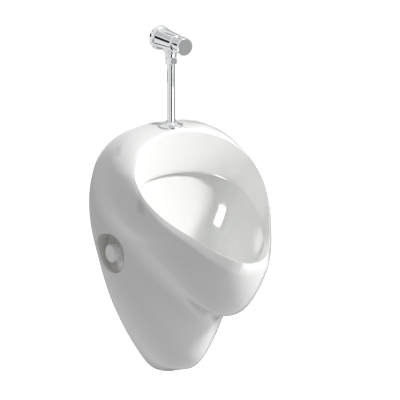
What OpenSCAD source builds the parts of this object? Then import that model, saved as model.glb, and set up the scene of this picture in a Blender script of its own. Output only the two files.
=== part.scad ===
// Wall-hung ceramic urinal with a push-button flush valve.
// Millimetres. X runs to the right seen from the front, -Y comes out of the wall, Z is up.
// The origin is on the wall, at the centre of the four fixing screws. Inside the modules heights
// are taken from the ceramic's lowest point and "out" is a distance out of the wall.

/* [Bowl] */
// Height of the ceramic
bowl_h = 500; // [480:5:520]
// Greatest width of the ceramic, at the wall
bowl_w = 316; // [306:2:326]
// How far the lip stands out of the wall
bowl_out = 332; // [322:2:342]
// Thickness of the glazed ceramic
wall_t = 10; // [8:0.5:12]
// Radius of the rounded rim
rim_r = 5; // [4:0.5:7]

/* [Side fixing] */
// Height of the fixing line above the ceramic's lowest point
fix_h = 268; // [262:1:274]
// Distance from the wall to the side screws
fix_out = 36; // [34:1:38]
// How deep each side pocket is cut
pocket_deep = 18; // [15:1:21]
// Radius of the pocket's round ends
pocket_r = 28; // [26:1:30]
// Distance between the centres of the pocket's round ends
pocket_straight = 22; // [14:1:26]
// Radius of the side cap
cap_r = 17.5; // [15:0.5:19]
// Length of the side cap
cap_len = 16; // [14:0.5:18]
// Thickness of the bracket's steel
bracket_t = 3; // [2:0.5:4]
// Height of the bracket
bracket_h = 78; // [72:1:90]
// Distance between a bracket's two wall screws
bracket_pitch = 46; // [40:1:52]
// Radius of a wall plug
plug_r = 5; // [4:0.5:6]
// Length of a wall plug
plug_len = 50; // [50:2:60]
// How far a wall screw reaches into its plug, whose tip is solid
screw_in = 24; // [20:1:24]

/* [Waste] */
// Distance from the wall to the middle of the waste
waste_out = 85; // [80:1:88]
// Radius of the waste hole in the ceramic
waste_hole_r = 22; // [21:0.5:24]
// Radius of the outlet pipe
outlet_r = 20; // [18:0.5:20]
// How far the outlet pipe runs into the wall
outlet_in = 40; // [30:1:60]
// How far the outlet pipe lies below the bowl's floor
outlet_drop = 60; // [58:1:62]
// Radius of the trap
trap_r = 27; // [25:0.5:28]
// Room between the trap and the inside of the chin
trap_gap = 4; // [3:0.5:6]

/* [Flush pipe] */
// Distance from the wall to the flush tube
tube_out = 40; // [38:1:42]
// Radius of the flush tube
tube_r = 8; // [7:0.5:9]
// Thickness of the flush tube
tube_t = 1; // [0.8:0.1:1.5]
// Length of tube that shows between the rosette and the nut
tube_show = 112; // [80:1:200]
// How far the tube reaches into the ceramic
tube_in = 20; // [16:1:22]
// Radius of the rosette
rosette_r = 23; // [21:0.5:25]
// Height of the rosette
rosette_h = 9; // [7:0.5:12]
// How far the rosette can be slid up the tube
rosette_lift = 50; // [30:1:60]

/* [Flush valve] */
// Radius of the inlet thread, G 1/2
thread_r = 10.48; // [10.4:0.01:10.6]
// Length of the inlet thread behind the wall face
thread_len = 16; // [14:1:20]
// Radius of the wall disc
disc_r = 23.5; // [22:0.5:26]
// Thickness of the wall disc
disc_t = 9; // [7:0.5:10]
// Radius of the barrel at the wall
barrel_r = 20; // [19:0.5:22]
// Radius of the barrel at the front
barrel_front_r = 18; // [17:0.5:19]
// Length of the barrel
barrel_len = 55; // [54:1:60]
// Radius of the neck between barrel and button
neck_r = 15; // [14:0.5:15.5]
// Length of the neck that shows
neck_len = 8; // [7:0.5:10]
// Radius of the push button
button_r = 17.25; // [17:0.25:18.5]
// Length of the push button
button_len = 18; // [16:0.5:22]
// Travel of the push button
button_travel = 6; // [4:0.5:6.5]
// Radius of the branch that points down
tee_r = 10.5; // [10.5:0.1:11.5]
// How far the branch reaches below the valve's axis
tee_drop = 29; // [27:0.5:34]
// Height of the tube nut
nut_h = 13.5; // [12:0.5:16]
// Radius over the corners of the tube nut
nut_r = 12.8; // [12.6:0.1:14]
// Wire radius of the return spring
spring_wire_r = 0.6; // [0.4:0.1:0.7]
// Turns of the return spring
spring_turns = 7; // [5:1:8]

/* [Hidden] */

// Clearances: a static fit, a moving fit, the gap between bodies, and what a cut runs past a face
fit = 0.1;
run_fit = 0.05;
gap = 0.3;
over = 1;
$fn = 64;

white = "white";
steel = "silver";
chrome = "gainsboro";
dark_rubber = "dimgray";
grey_plastic = "lightgray";

// Columns of the ceramic's surface on each side of its middle, and rings in each stretch of it
half_cols = 30;
belly_rings = 8;
shield_rings = 7;
cavity_rings = 8;

// The rays of the ceramic's surface spread from this height on its middle line
hub_h = 0.8 * bowl_h;
half_w = bowl_w / 2;
// The surface ends on the wall at this height on its middle line
pole_h = 0.72 * bowl_h;

// Outline at the wall, from the foot to the top: shares of the half width and of the height
wall_line = [[0, 0], [0.15, 0.024], [0.3, 0.083], [0.525, 0.203], [0.735, 0.35], [0.89, 0.515],
    [0.975, 0.63], [1, 0.73], [0.965, 0.82], [0.86, 0.905], [0.69, 0.955], [0.5, 0.982],
    [0.25, 0.996], [0, 1]];

// Rim, from the lip to the top: shares of the half width, of the reach and of the height
rim_line = [[0, 1, 0.61], [0.2, 0.982, 0.624], [0.36, 0.895, 0.65], [0.545, 0.758, 0.697],
    [0.71, 0.62, 0.744], [0.82, 0.49, 0.802], [0.82, 0.38, 0.86], [0.755, 0.318, 0.894],
    [0.61, 0.258, 0.936], [0.4, 0.222, 0.966], [0.2, 0.206, 0.982], [0, 0.202, 0.988]];

// Lower edge of the hood inside the rim, in the same shares
hood_line = [[0, 0.966, 0.598], [0.15, 0.935, 0.61], [0.3, 0.868, 0.634], [0.46, 0.735, 0.662],
    [0.59, 0.59, 0.7], [0.65, 0.44, 0.732], [0.652, 0.34, 0.754], [0.62, 0.265, 0.77],
    [0.52, 0.2, 0.784], [0.37, 0.15, 0.795], [0.19, 0.125, 0.801], [0, 0.117, 0.803]];

// Top of the bowl's inside behind that edge, in the same shares
bowl_line = [[0, 0.957, 0.575], [0.155, 0.932, 0.59], [0.32, 0.872, 0.615], [0.5, 0.75, 0.65],
    [0.65, 0.6, 0.692], [0.73, 0.44, 0.726], [0.735, 0.33, 0.75], [0.7, 0.245, 0.768],
    [0.59, 0.175, 0.784], [0.42, 0.12, 0.798], [0.215, 0.092, 0.806], [0, 0.084, 0.808]];

// How far the chin under the bowl stands out on the middle line: shares of height and of reach
chin_line = [[0, 0], [0.012, 0.09], [0.036, 0.19], [0.066, 0.315], [0.095, 0.37], [0.165, 0.44],
    [0.23, 0.482], [0.3, 0.515], [0.38, 0.5], [0.466, 0.437], [0.54, 0.36], [0.62, 0.265],
    [0.7, 0.2], [0.8, 0.15], [0.9, 0.12], [1, 0.1]];

// By angle from straight down: share of the ray that the belly takes, how far out the belly ends
// as a share of the reach, and how full its curve is
belly_share = [[0, 0.43], [10, 0.5], [28, 0.555], [40, 0.605], [55, 0.65], [65, 0.76], [75, 0.84],
    [95, 0.97], [180, 0.98]];
belly_end = [[0, 0.68], [15, 0.58], [28, 0.45], [40, 0.335], [55, 0.22], [65, 0.165], [75, 0.13],
    [95, 0.07], [120, 0.05], [180, 0.03]];
belly_full = [[0, 1.35], [30, 1.45], [60, 1.5], [90, 1.3], [120, 1.3], [150, 2.2], [180, 5]];
// The fold between belly and shield, as a share of the ray
fold_share = 0.09;

// By the same angle: how pinched the inside is between its top and the waste; 1 is an ellipse
well_pinch = [[0, 1.3], [20, 1.2], [40, 1.3], [60, 1.55], [82, 1.75], [97, 1.7], [112, 1.3], [135, 0.8],
    [180, 0.67]];

// By the same angle: where the hollow behind the bowl becomes deep, as a share of the height
deep_from = [[0, 0.468], [10, 0.47], [16, 0.455], [28, 0.4], [45, 0.31], [60, 0.24], [80, 0.2], [100, 0.17],
    [180, 0.14]];

// Floor of the bowl and the flat under it that the waste nut clamps
well_h = 0.344 * bowl_h;
pad_h = well_h - wall_t - 4;
well_r = 37;

// Point i of a half outline, carried on past both ends by its mirror image
function mirrored(p) = [for (k = [0:len(p) - 1]) k == 0 ? -p[k] : p[k]];
function point_at(line, i) =
    i < 0 ? mirrored(line[-i]) :
    i > len(line) - 1 ? mirrored(line[2 * (len(line) - 1) - i]) :
    line[i];

// Smooth curve through the points, u counted in points
function curve(line, u) =
    let (i = min(floor(u), len(line) - 2), t = u - i,
        a = point_at(line, i - 1), b = point_at(line, i),
        c = point_at(line, i + 1), d = point_at(line, i + 2))
    b + t / 2 * (c - a + t * (2 * a - 5 * b + 4 * c - d + t * (3 * (b - c) + d - a)));

// Smooth value at a from rows of [place, value], level at both ends
function steep(rows, i) =
    i == 0 || i == len(rows) - 1 ? 0 :
    let (h0 = rows[i][0] - rows[i - 1][0], h1 = rows[i + 1][0] - rows[i][0],
        s0 = (rows[i][1] - rows[i - 1][1]) / h0, s1 = (rows[i + 1][1] - rows[i][1]) / h1)
    (h1 * s0 + h0 * s1) / (h0 + h1);
function row_before(rows, a, i = 0) =
    i >= len(rows) - 2 || a < rows[i + 1][0] ? i : row_before(rows, a, i + 1);
function smooth(rows, a) =
    let (i = row_before(rows, a), h = rows[i + 1][0] - rows[i][0], t = (a - rows[i][0]) / h,
        m0 = steep(rows, i) * h, m1 = steep(rows, i + 1) * h, p0 = rows[i][1], p1 = rows[i + 1][1])
    p0 + t * (m0 + t * (3 * (p1 - p0) - 2 * m0 - m1 + t * (2 * (p0 - p1) + m0 + m1)));

// A point of each line in millimetres: sideways, out of the wall, up
function out_of(line, u) = let (p = curve(line, u)) [p[0] * half_w, p[1] * bowl_out, p[2] * bowl_h];
function outline_raw(u) = let (p = curve(wall_line, u)) [p[0] * half_w, p[1] * bowl_h];
function outline(u, inset) =
    inset == 0 ? outline_raw(u) :
    let (along = outline_raw(u + 0.02) - outline_raw(u - 0.02), p = outline_raw(u))
    p + inset * [-along[1], along[0]] / norm(along);

// Angle of a point seen from the hub, 0 straight down and 180 straight up
function ray_of(x, h) = atan2(x, hub_h - h);
function rim_place(angle, lo = 0, hi = 11, n = 22) =
    let (mid = (lo + hi) / 2, p = out_of(rim_line, mid))
    n == 0 ? mid :
    ray_of(p[0], p[2]) < angle ? rim_place(angle, mid, hi, n - 1) : rim_place(angle, lo, mid, n - 1);
function outline_place(angle, inset, lo = 0, hi = 13, n = 22) =
    let (mid = (lo + hi) / 2, p = outline(mid, inset))
    n == 0 ? mid :
    ray_of(p[0], p[1]) < angle ? outline_place(angle, inset, mid, hi, n - 1) :
    outline_place(angle, inset, lo, mid, n - 1);
function height_place(h, inset, lo = 0, hi = 13, n = 18) =
    let (mid = (lo + hi) / 2)
    n == 0 ? mid :
    outline(mid, inset)[1] < h ? height_place(h, inset, mid, hi, n - 1) :
    height_place(h, inset, lo, mid, n - 1);
function half_width(h, inset) = outline(height_place(h, inset), inset)[0];

// How far the shield and chin stand out at a point: half an ellipse at each height
function chin_out(h) = smooth(chin_line, max(0, min(1, h / bowl_h))) * bowl_out;
function chin_inside(h, inset) =
    inset == 0 ? chin_out(h) : min([for (a = [-75:25:75]) chin_out(h + inset * sin(a)) - inset * cos(a)]);
function shield_out(x, h, inset) =
    let (share = min(1, abs(x) / max(half_width(h, inset), 0.01)))
    max(0, chin_inside(h, inset)) * sqrt(1 - share * share);

// Lowest height at which the inside of the chin stands so far out
function clear_height(out, lo = 0, hi = 0.25 * bowl_h, n = 18) =
    let (mid = (lo + hi) / 2)
    n == 0 ? mid :
    chin_inside(mid, wall_t) < out ? clear_height(out, mid, hi, n - 1) : clear_height(out, lo, mid, n - 1);

// Point on a ray at radius r
function on_ray(angle, r, out) = [r * sin(angle), out, hub_h - r * cos(angle)];

// The columns stand closer together near the foot, where the rays are long
function col_angle(j) = 180 * pow(j / half_cols, 1.5);
function outer_curve(angle) =
    let (place = rim_place(angle), rim = out_of(rim_line, place),
        r0 = norm([rim[0], hub_h - rim[2]]), edge = outline(outline_place(angle, 0), 0),
        r1 = norm([edge[0], hub_h - edge[1]]),
        end_out = smooth(belly_end, angle) * bowl_out,
        span = smooth(belly_share, angle) * (r1 - r0),
        power = 2 / smooth(belly_full, angle),
        belly = [for (k = [1:belly_rings]) let (a = 90 * k / belly_rings)
            on_ray(angle, r0 + span * pow(sin(a), power), end_out + (rim[1] - end_out) * cos(a))],
        turn = min(fold_share * (r1 - r0), 0.4 * (r1 - r0 - span)),
        r2 = r0 + span + turn,
        low = on_ray(angle, r2, 0), low_out = min(shield_out(low[0], low[2], 0), end_out - 1),
        fillet = [for (a = [30, 60])
            on_ray(angle, r0 + span + turn * (1 - cos(a)), low_out + (end_out - low_out) * (1 - sin(a)))],
        shield = [for (k = [0:shield_rings]) let (v = 1 - k / shield_rings, r = r1 - (r1 - r2) * v * v,
            p = on_ray(angle, r, 0))
            on_ray(angle, r, k == shield_rings ? 0 : min(shield_out(p[0], p[2], 0), low_out))])
    concat(belly, fillet, shield);

// The inside, from the rim down to the flat round the waste
function inner_curve(angle) =
    let (place = rim_place(angle), rim = out_of(rim_line, place), hood = out_of(hood_line, place),
        top = out_of(bowl_line, place), aim = [top[0], top[1] - waste_out], reach = norm(aim),
        foot = [aim[0] * well_r / reach, waste_out + aim[1] * well_r / reach, well_h],
        power = smooth(well_pinch, angle),
        band = [for (k = [1:3]) rim + (hood - rim) * k / 4],
        edge = [hood, hood + (top - hood) / 2 + [0, 0, 1]],
        well = [for (k = [0:cavity_rings]) let (a = 90 * k / cavity_rings,
            c = pow(cos(a), power), s = pow(sin(a), power))
            [foot[0] + (top[0] - foot[0]) * c, foot[1] + (top[1] - foot[1]) * c,
            top[2] - (top[2] - foot[2]) * s]])
    concat(band, edge, well);

// Rounds the rim between its first point outside and its first point inside
function towards(a, b, r) = a + (b - a) * min(0.8, r / norm(b - a));
function rounded_rim(rim, outer, inner) =
    let (a = towards(rim, outer, rim_r), b = towards(rim, inner, rim_r))
    [b, b * 0.25 + rim * 0.5 + a * 0.25, a];

function half_column(angle) =
    let (rim = out_of(rim_line, rim_place(angle)), inner = inner_curve(angle), outer = outer_curve(angle))
    concat([for (k = [len(inner) - 1:-1:0]) inner[k]], rounded_rim(rim, outer[0], inner[0]), outer);

// Rings of points from one pole to the other make a closed solid; out becomes -Y here
function flip(p, side) = [side * p[0], -p[1], p[2]];
function both_sides(half) = concat(
    [for (j = [0:half_cols]) [for (p = half[j]) flip(p, 1)]],
    [for (j = [half_cols - 1:-1:1]) [for (p = half[j]) flip(p, -1)]]);
module closed_rings(cols, first_pole, last_pole) {
    n = len(cols);
    m = len(cols[0]);
    points = concat([for (c = cols) each c], [first_pole, last_pole]);
    faces = concat(
        [for (j = [0:n - 1]) [n * m, ((j + 1) % n) * m, j * m]],
        [for (j = [0:n - 1]) for (k = [0:m - 2]) [j * m + k, ((j + 1) % n) * m + k, j * m + k + 1]],
        [for (j = [0:n - 1]) for (k = [0:m - 2])
            [((j + 1) % n) * m + k, ((j + 1) % n) * m + k + 1, j * m + k + 1]],
        [for (j = [0:n - 1]) [n * m + 1, j * m + m - 1, ((j + 1) % n) * m + m - 1]]);
    polyhedron(points, faces, convexity = 8);
}

// The space behind the bowl: shallow behind its back, deep inside the shield and the chin
back_gap = 18;
function hollow_curve(angle) =
    let (edge = outline(outline_place(angle, wall_t), wall_t), r1 = norm([edge[0], hub_h - edge[1]]),
        ra = min(smooth(deep_from, angle) * bowl_h, r1 - 14), rb = ra + 5)
    concat(
        [for (k = [1:3]) on_ray(angle, ra * k / 3, back_gap)],
        [for (k = [0:shield_rings]) let (v = 1 - k / (shield_rings + 0.35), r = r1 - (r1 - rb) * v * v,
            p = on_ray(angle, r, 0)) on_ray(angle, r, max(back_gap * v, shield_out(p[0], p[2], wall_t)))],
        [on_ray(angle, r1, 0), on_ray(angle, r1, -over)]);
module hollow() {
    half = [for (j = [0:half_cols]) hollow_curve(col_angle(j))];
    closed_rings(both_sides(half), [0, -back_gap, hub_h], [0, over, pole_h]);
}

// Moves a piece modelled from the ceramic's foot into the part's frame
module from_foot() {
    translate([0, 0, -fix_h]) children();
}

// Where the outside of the ceramic is at the side screws, and what is stacked behind it there
surface_x = half_width(fix_h, 0) * sqrt(1 - pow(fix_out / chin_out(fix_h), 2));
pocket_x = surface_x - pocket_deep;
boss_x = pocket_x - wall_t;
bush_t = 4;
bracket_x = boss_x - bush_t;
bush_r = 7;
arm_r = 16;
screw_r = 4;
wall_screw_r = 3;
screw_x = bracket_x - 17;

// Along X from x = from, at the side screw's axis; side is 1 on the right and -1 on the left
module at_side(side, from) {
    translate([side * from, -fix_out, fix_h]) rotate([0, side * 90, 0]) children();
}
module slot_shape(r, straight) {
    for (s = [-1, 1]) translate([-s * straight / 2, 0]) circle(r);
    square([straight, 2 * r], center = true);
}
module side_slot(side, r, from, len) {
    at_side(side, from) linear_extrude(len) slot_shape(r, pocket_straight);
}
// Room behind the ceramic's side, open to the wall: half is half its height, r the radius of its end
module side_room(side, r, half, from) {
    at_side(side, from) linear_extrude(boss_x - from) {
        slot_shape(r, 2 * (half - r));
        translate([-half, 0]) square([2 * half, fix_out + over]);
    }
}

module ceramic_body() {
    half = [for (j = [0:half_cols]) half_column(col_angle(j))];
    color(white) from_foot() difference() {
        union() {
            difference() {
                closed_rings(both_sides(half), [0, -waste_out, well_h], [0, 0, pole_h]);
                for (side = [-1, 1]) {
                    side_room(side, arm_r + 3, bracket_h / 2 + 3, bracket_x - bracket_t - 3);
                    side_room(side, arm_r - 4, arm_r - 3, bracket_x - 16);
                }
                difference() {
                    hollow();
                    for (side = [-1, 1]) side_slot(side, pocket_r + wall_t - 2, boss_x, bowl_w);
                    translate([0, -waste_out, pad_h]) cylinder(h = bowl_h / 4, r = well_r + wall_t);
                    translate([0, -tube_out, bowl_h - grommet_in - wall_t])
                        cylinder(h = bowl_h / 4, r = grommet_r + wall_t);
                }
            }
            translate([0, -tube_out, bowl_h - wall_t]) cylinder(h = wall_t, r = rosette_r - 1);
        }
        for (side = [-1, 1]) {
            side_slot(side, pocket_r, pocket_x, bowl_w);
            at_side(side, boss_x - over) cylinder(h = wall_t + 2 * over, r = bush_r + fit);
        }
        translate([0, -waste_out, pad_h - over]) cylinder(h = well_h - pad_h + 2 * over, r = waste_hole_r);
        translate([0, -tube_out, bowl_h - grommet_in]) cylinder(h = grommet_in + over, r = grommet_r + fit);
        translate([0, -tube_out, bowl_h - grommet_in + over]) rotate([180 - water_tilt, 0, 0])
            cylinder(h = water_len, r = water_r);
    }
}

// Fixing pieces
module wall_bracket(side) {
    w = 34;
    color(steel) from_foot() difference() {
        union() {
            translate([side > 0 ? bracket_x - w : -bracket_x, -bracket_t, fix_h - bracket_h / 2])
                cube([w, bracket_t, bracket_h]);
            intersection() {
                translate([side > 0 ? bracket_x - bracket_t : -bracket_x, -fix_out - arm_r, fix_h - bracket_h / 2])
                    cube([bracket_t, fix_out + arm_r, bracket_h]);
                at_side(side, bracket_x - 2 * bracket_t) linear_extrude(3 * bracket_t)
                    slot_shape(arm_r, bracket_h - 2 * arm_r);
            }
            translate([side > 0 ? bracket_x - bracket_t : -bracket_x, -fix_out, fix_h - bracket_h / 2])
                cube([bracket_t, fix_out, bracket_h]);
            at_side(side, bracket_x - bracket_t - 6) cylinder(h = 6 + over, r = 7.5, $fn = 6);
        }
        at_side(side, bracket_x - bracket_t - 6 - over) cylinder(h = bracket_t + 6 + 2 * over, r = screw_r + fit);
        for (s = [-1, 1]) translate([side * screw_x, over, fix_h + s * bracket_pitch / 2])
            rotate([90, 0, 0]) cylinder(h = bracket_t + 2 * over, r = wall_screw_r + fit);
    }
}
module wall_bracket_left() {
    wall_bracket(-1);
}
module wall_bracket_right() {
    wall_bracket(1);
}

// Puts a piece at each of the four wall screws, its Z out of the wall
module at_wall_screws() {
    for (side = [-1, 1]) for (s = [-1, 1])
        translate([side * screw_x, 0, fix_h + s * bracket_pitch / 2]) rotate([90, 0, 0]) children();
}
washer_t = 1.6;
module wall_screws() {
    color(steel) from_foot() at_wall_screws() {
        translate([0, 0, -screw_in]) cylinder(h = screw_in + bracket_t + washer_t + over, r = wall_screw_r);
        translate([0, 0, bracket_t + washer_t]) cylinder(h = 4, r = 5.5, $fn = 6);
    }
}
module wall_washers() {
    color(steel) from_foot() at_wall_screws() translate([0, 0, bracket_t]) difference() {
        cylinder(h = washer_t, r = 7.5);
        translate([0, 0, -over]) cylinder(h = washer_t + 2 * over, r = wall_screw_r + fit);
    }
}
module wall_plugs() {
    color("gray") from_foot() at_wall_screws() difference() {
        translate([0, 0, -plug_len]) cylinder(h = plug_len, r = plug_r);
        translate([0, 0, -screw_in]) cylinder(h = plug_len, r = wall_screw_r + fit);
    }
}

module side_bush(side) {
    color(dark_rubber) from_foot() at_side(side, bracket_x) difference() {
        union() {
            cylinder(h = bush_t, r = bush_r + 6);
            cylinder(h = bush_t + wall_t, r = bush_r);
        }
        translate([0, 0, -over]) cylinder(h = bush_t + wall_t + 2 * over, r = screw_r + fit);
    }
}
module side_bush_left() {
    side_bush(-1);
}
module side_bush_right() {
    side_bush(1);
}
module side_washer(side) {
    color(steel) from_foot() at_side(side, pocket_x) difference() {
        cylinder(h = washer_t, r = 12);
        translate([0, 0, -over]) cylinder(h = washer_t + 2 * over, r = screw_r + fit);
    }
}
module side_washer_left() {
    side_washer(-1);
}
module side_washer_right() {
    side_washer(1);
}
module side_screw(side) {
    shank = pocket_x + washer_t - bracket_x + 14;
    color(steel) from_foot() at_side(side, bracket_x - 14) {
        cylinder(h = shank, r = screw_r);
        translate([0, 0, shank]) cylinder(h = 5.3, r = 7.5, $fn = 6);
    }
}
module side_screw_left() {
    side_screw(-1);
}
module side_screw_right() {
    side_screw(1);
}
module side_cap(side) {
    edge = 3;
    skin = 1.8;
    color(white) from_foot() at_side(side, pocket_x) rotate_extrude() difference() {
        union() {
            square([cap_r - edge, cap_len]);
            square([cap_r, cap_len - edge]);
            translate([cap_r - edge, cap_len - edge]) circle(edge);
        }
        translate([-over, -over]) square([cap_r - skin + over, cap_len - skin + over]);
        translate([-cap_r, 0]) square([cap_r, cap_len]);
    }
}
module side_cap_left() {
    side_cap(-1);
}
module side_cap_right() {
    side_cap(1);
}

// Waste and trap: stacked down from the bowl's floor on one axis
gasket_t = 2;
flange_t = 2;
flange_r = 33;
tail_r = waste_hole_r - 2;
tail_t = 2.5;
outlet_h = well_h - outlet_drop;
trap_foot = ceil(clear_height(waste_out + trap_r + trap_gap));
tail_foot = outlet_h + outlet_r + 7;
backnut_h = 7;
module at_waste(h) {
    from_foot() translate([0, -waste_out, h]) children();
}
// A tube from the current height down, and the same upwards
module tube(h, r, inner) {
    difference() {
        cylinder(h = h, r = r);
        translate([0, 0, -over]) cylinder(h = h + 2 * over, r = inner);
    }
}
module waste_gasket() {
    color(dark_rubber) at_waste(well_h) tube(gasket_t, flange_r - 1, waste_hole_r);
}
module waste_tail() {
    bore = tail_r - tail_t;
    top = well_h + gasket_t;
    color(chrome) at_waste(0) {
        translate([0, 0, tail_foot]) tube(top + flange_t - tail_foot, tail_r, bore);
        translate([0, 0, top]) tube(flange_t, flange_r, bore);
        translate([0, 0, top - 4]) difference() {
            union() {
                translate([-bore - 1, -2, 0]) cube([2 * bore + 2, 4, 4]);
                cylinder(h = 4, r = 5);
            }
            translate([0, 0, -over]) cylinder(h = 4 + 2 * over, r = 2.5 + fit);
        }
    }
}
strainer_h = 6;
strainer_t = 1.5;
module waste_strainer() {
    r = flange_r - 3;
    color(chrome) at_waste(well_h + gasket_t + flange_t) difference() {
        rotate_extrude() polygon([[0, strainer_h - strainer_t], [r * 0.45, strainer_h - strainer_t - 0.6],
            [r * 0.8, strainer_h * 0.4], [r - 2, 0], [r, 0], [r, 1], [r * 0.83, strainer_h * 0.4 + strainer_t],
            [r * 0.46, strainer_h - 0.4], [0, strainer_h]]);
        translate([0, 0, -over]) cylinder(h = 10, r = 2.5 + fit);
        for (ring = [[6, 9], [10, 15], [16, 21]]) for (k = [1:ring[0]])
            rotate([0, 0, k * 360 / ring[0]]) translate([ring[1], 0, -over]) cylinder(h = 10, r = 2);
    }
}
module strainer_screw() {
    color(chrome) at_waste(well_h + gasket_t + flange_t) {
        translate([0, 0, -8]) cylinder(h = 8 + strainer_h, r = 2.5);
        translate([0, 0, strainer_h]) difference() {
            cylinder(h = 2, r = 4.5);
            translate([-5, -0.5, 1]) cube([10, 1, 2]);
        }
    }
}
module backnut_washer() {
    color(dark_rubber) at_waste(pad_h - 3) tube(3, well_r - 6, tail_r + fit);
}
module waste_backnut() {
    color(grey_plastic) at_waste(pad_h - 3 - backnut_h) difference() {
        cylinder(h = backnut_h, r = well_r - 5, $fn = 8);
        translate([0, 0, -over]) cylinder(h = backnut_h + 2 * over, r = tail_r + fit);
    }
}
trap_t = 2.5;
dip_r = tail_r - tail_t - 1.5;
top_foot = outlet_h - outlet_r - 5;
top_head = outlet_h + outlet_r + 4;
seal_h = 4;
module trap_top_seal() {
    color(dark_rubber) at_waste(top_head) tube(seal_h, tail_r + 3, tail_r + fit);
}
module trap_top_nut() {
    color(grey_plastic) at_waste(top_head) {
        tube(seal_h + 3, tail_r + 7, tail_r + 3 + fit);
        translate([0, 0, seal_h]) tube(3, tail_r + 7, tail_r + fit);
        for (k = [1:8]) rotate([0, 0, 45 * k]) translate([tail_r + 6.4, -1.5, 0]) cube([2.6, 3, seal_h + 3]);
    }
}
module trap_top() {
    color(grey_plastic) at_waste(0) difference() {
        union() {
            translate([0, 0, top_foot]) cylinder(h = top_head - top_foot, r = trap_r);
            translate([0, 0, outlet_h]) rotate([-90, 0, 0])
                cylinder(h = trap_r + 16, r = outlet_r + trap_t);
        }
        translate([0, 0, top_foot - over]) cylinder(h = top_head - top_foot - 3 + over, r = trap_r - trap_t);
        translate([0, 0, top_head - 4]) cylinder(h = 4 + over, r = dip_r + 1 + fit);
        translate([0, 0, outlet_h]) rotate([-90, 0, 0]) cylinder(h = trap_r + 16 + over, r = outlet_r - 1);
        translate([0, trap_r + 4, outlet_h]) rotate([-90, 0, 0]) cylinder(h = 12 + over, r = pipe_r + fit);
    }
}
module dip_tube() {
    top = tail_foot - 1;
    foot = trap_foot + 14;
    color(grey_plastic) at_waste(0) {
        translate([0, 0, foot]) tube(top - foot, dip_r, dip_r - 1.5);
        translate([0, 0, top_head - 4]) tube(3.5, dip_r + 1, dip_r - 1);
    }
}
module cup_seal() {
    color(dark_rubber) at_waste(top_foot - 2) tube(2, trap_r, trap_r - trap_t);
}
module trap_cup() {
    color(grey_plastic) at_waste(0) {
        translate([0, 0, trap_foot]) rotate_extrude() polygon([[0, 0], [trap_r - 8, 0], [trap_r - 3, 2],
            [trap_r, 7], [trap_r, top_foot - trap_foot - 2], [trap_r - trap_t, top_foot - trap_foot - 2],
            [trap_r - trap_t, 8], [trap_r - 8, 3], [0, 3]]);
        for (k = [1:12]) rotate([0, 0, 30 * k]) translate([trap_r - 1, -1, top_foot - 12])
            cube([1.8, 2, 9]);
    }
}
// Outlet: along Y at the outlet's height; from is a distance out of the wall
socket_out = waste_out - trap_r - 16;
// Within the room the pipe is a little thinner than where it seals in the wall's socket
pipe_r = outlet_r - 0.5;
module at_outlet(from) {
    from_foot() translate([0, -from, outlet_h]) rotate([-90, 0, 0]) children();
}
module outlet_seal() {
    color(dark_rubber) at_outlet(socket_out) tube(3, outlet_r + trap_t, pipe_r + fit);
}
module outlet_nut() {
    color(grey_plastic) at_outlet(socket_out + 10) {
        tube(13, outlet_r + trap_t + 3, outlet_r + trap_t + fit);
        translate([0, 0, 13]) tube(3, outlet_r + trap_t + 3, pipe_r + fit);
    }
}
module outlet_pipe() {
    front = socket_out + 11;
    color(grey_plastic) at_outlet(front) difference() {
        union() {
            cylinder(h = front + outlet_in, r = pipe_r);
            translate([0, 0, front + 1]) cylinder(h = outlet_in - 1, r = outlet_r);
        }
        translate([0, 0, -over]) cylinder(h = front + outlet_in + 2 * over, r = pipe_r - 1.6);
    }
}
module wall_collar() {
    color(dark_rubber) at_outlet(4) tube(4, outlet_r + 7, pipe_r + fit);
}

// Inlet: a rubber sleeve in the ceramic holds the end of the flush tube
grommet_r = 14;
grommet_in = 22;
water_r = 5;
water_tilt = -5;
water_len = bowl_h * 0.2 - grommet_in;
module at_tube(h) {
    from_foot() translate([0, -tube_out, h]) children();
}
module inlet_grommet() {
    color(dark_rubber) at_tube(bowl_h) {
        translate([0, 0, -grommet_in]) tube(grommet_in, grommet_r, tube_r + fit);
        translate([0, 0, 0]) tube(1.5, grommet_r + 3, tube_r + fit);
    }
}
nut_foot = bowl_h + rosette_h + tube_show;
nut_lip = 3;
cone_h = 5;
spigot_r = tube_r + 1.7;
valve_h = nut_foot + nut_h + tee_drop;
module tube_rosette() {
    skin = 1.5;
    color(chrome) at_tube(bowl_h) rotate_extrude() polygon([[rosette_r - skin, 0], [rosette_r, 0],
        [rosette_r, 1.6], [rosette_r - 3, 2.6], [rosette_r * 0.62, rosette_h * 0.52],
        [tube_r + 3.4, rosette_h - 1.2], [tube_r + 2.4, rosette_h], [tube_r + gap, rosette_h],
        [tube_r + gap, rosette_h - 3], [rosette_r * 0.62, rosette_h * 0.52 - skin], [rosette_r - 3, 1.6]]);
}
module flush_tube() {
    color(chrome) at_tube(bowl_h - tube_in) tube(nut_foot + nut_h + 8 - bowl_h + tube_in, tube_r, tube_r - tube_t);
}
module tube_cone() {
    color(dark_rubber) at_tube(nut_foot + nut_lip) difference() {
        cylinder(h = cone_h, r1 = spigot_r, r2 = tube_r + 1);
        translate([0, 0, -over]) cylinder(h = cone_h + 2 * over, r = tube_r + fit);
    }
}
module tube_nut() {
    color(chrome) at_tube(nut_foot) difference() {
        intersection() {
            cylinder(h = nut_h, r = nut_r, $fn = 6);
            rotate_extrude() polygon([[0, 0], [nut_r - 2.6, 0], [nut_r - 0.9, 2], [nut_r - 0.3, 4],
                [nut_r - 0.3, nut_h - 4], [nut_r - 0.9, nut_h - 2], [nut_r - 2.6, nut_h], [0, nut_h]]);
        }
        translate([0, 0, -over]) cylinder(h = nut_h + 2 * over, r = tube_r + fit);
        translate([0, 0, nut_lip]) cylinder(h = nut_h, r = spigot_r + fit);
    }
}

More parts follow.
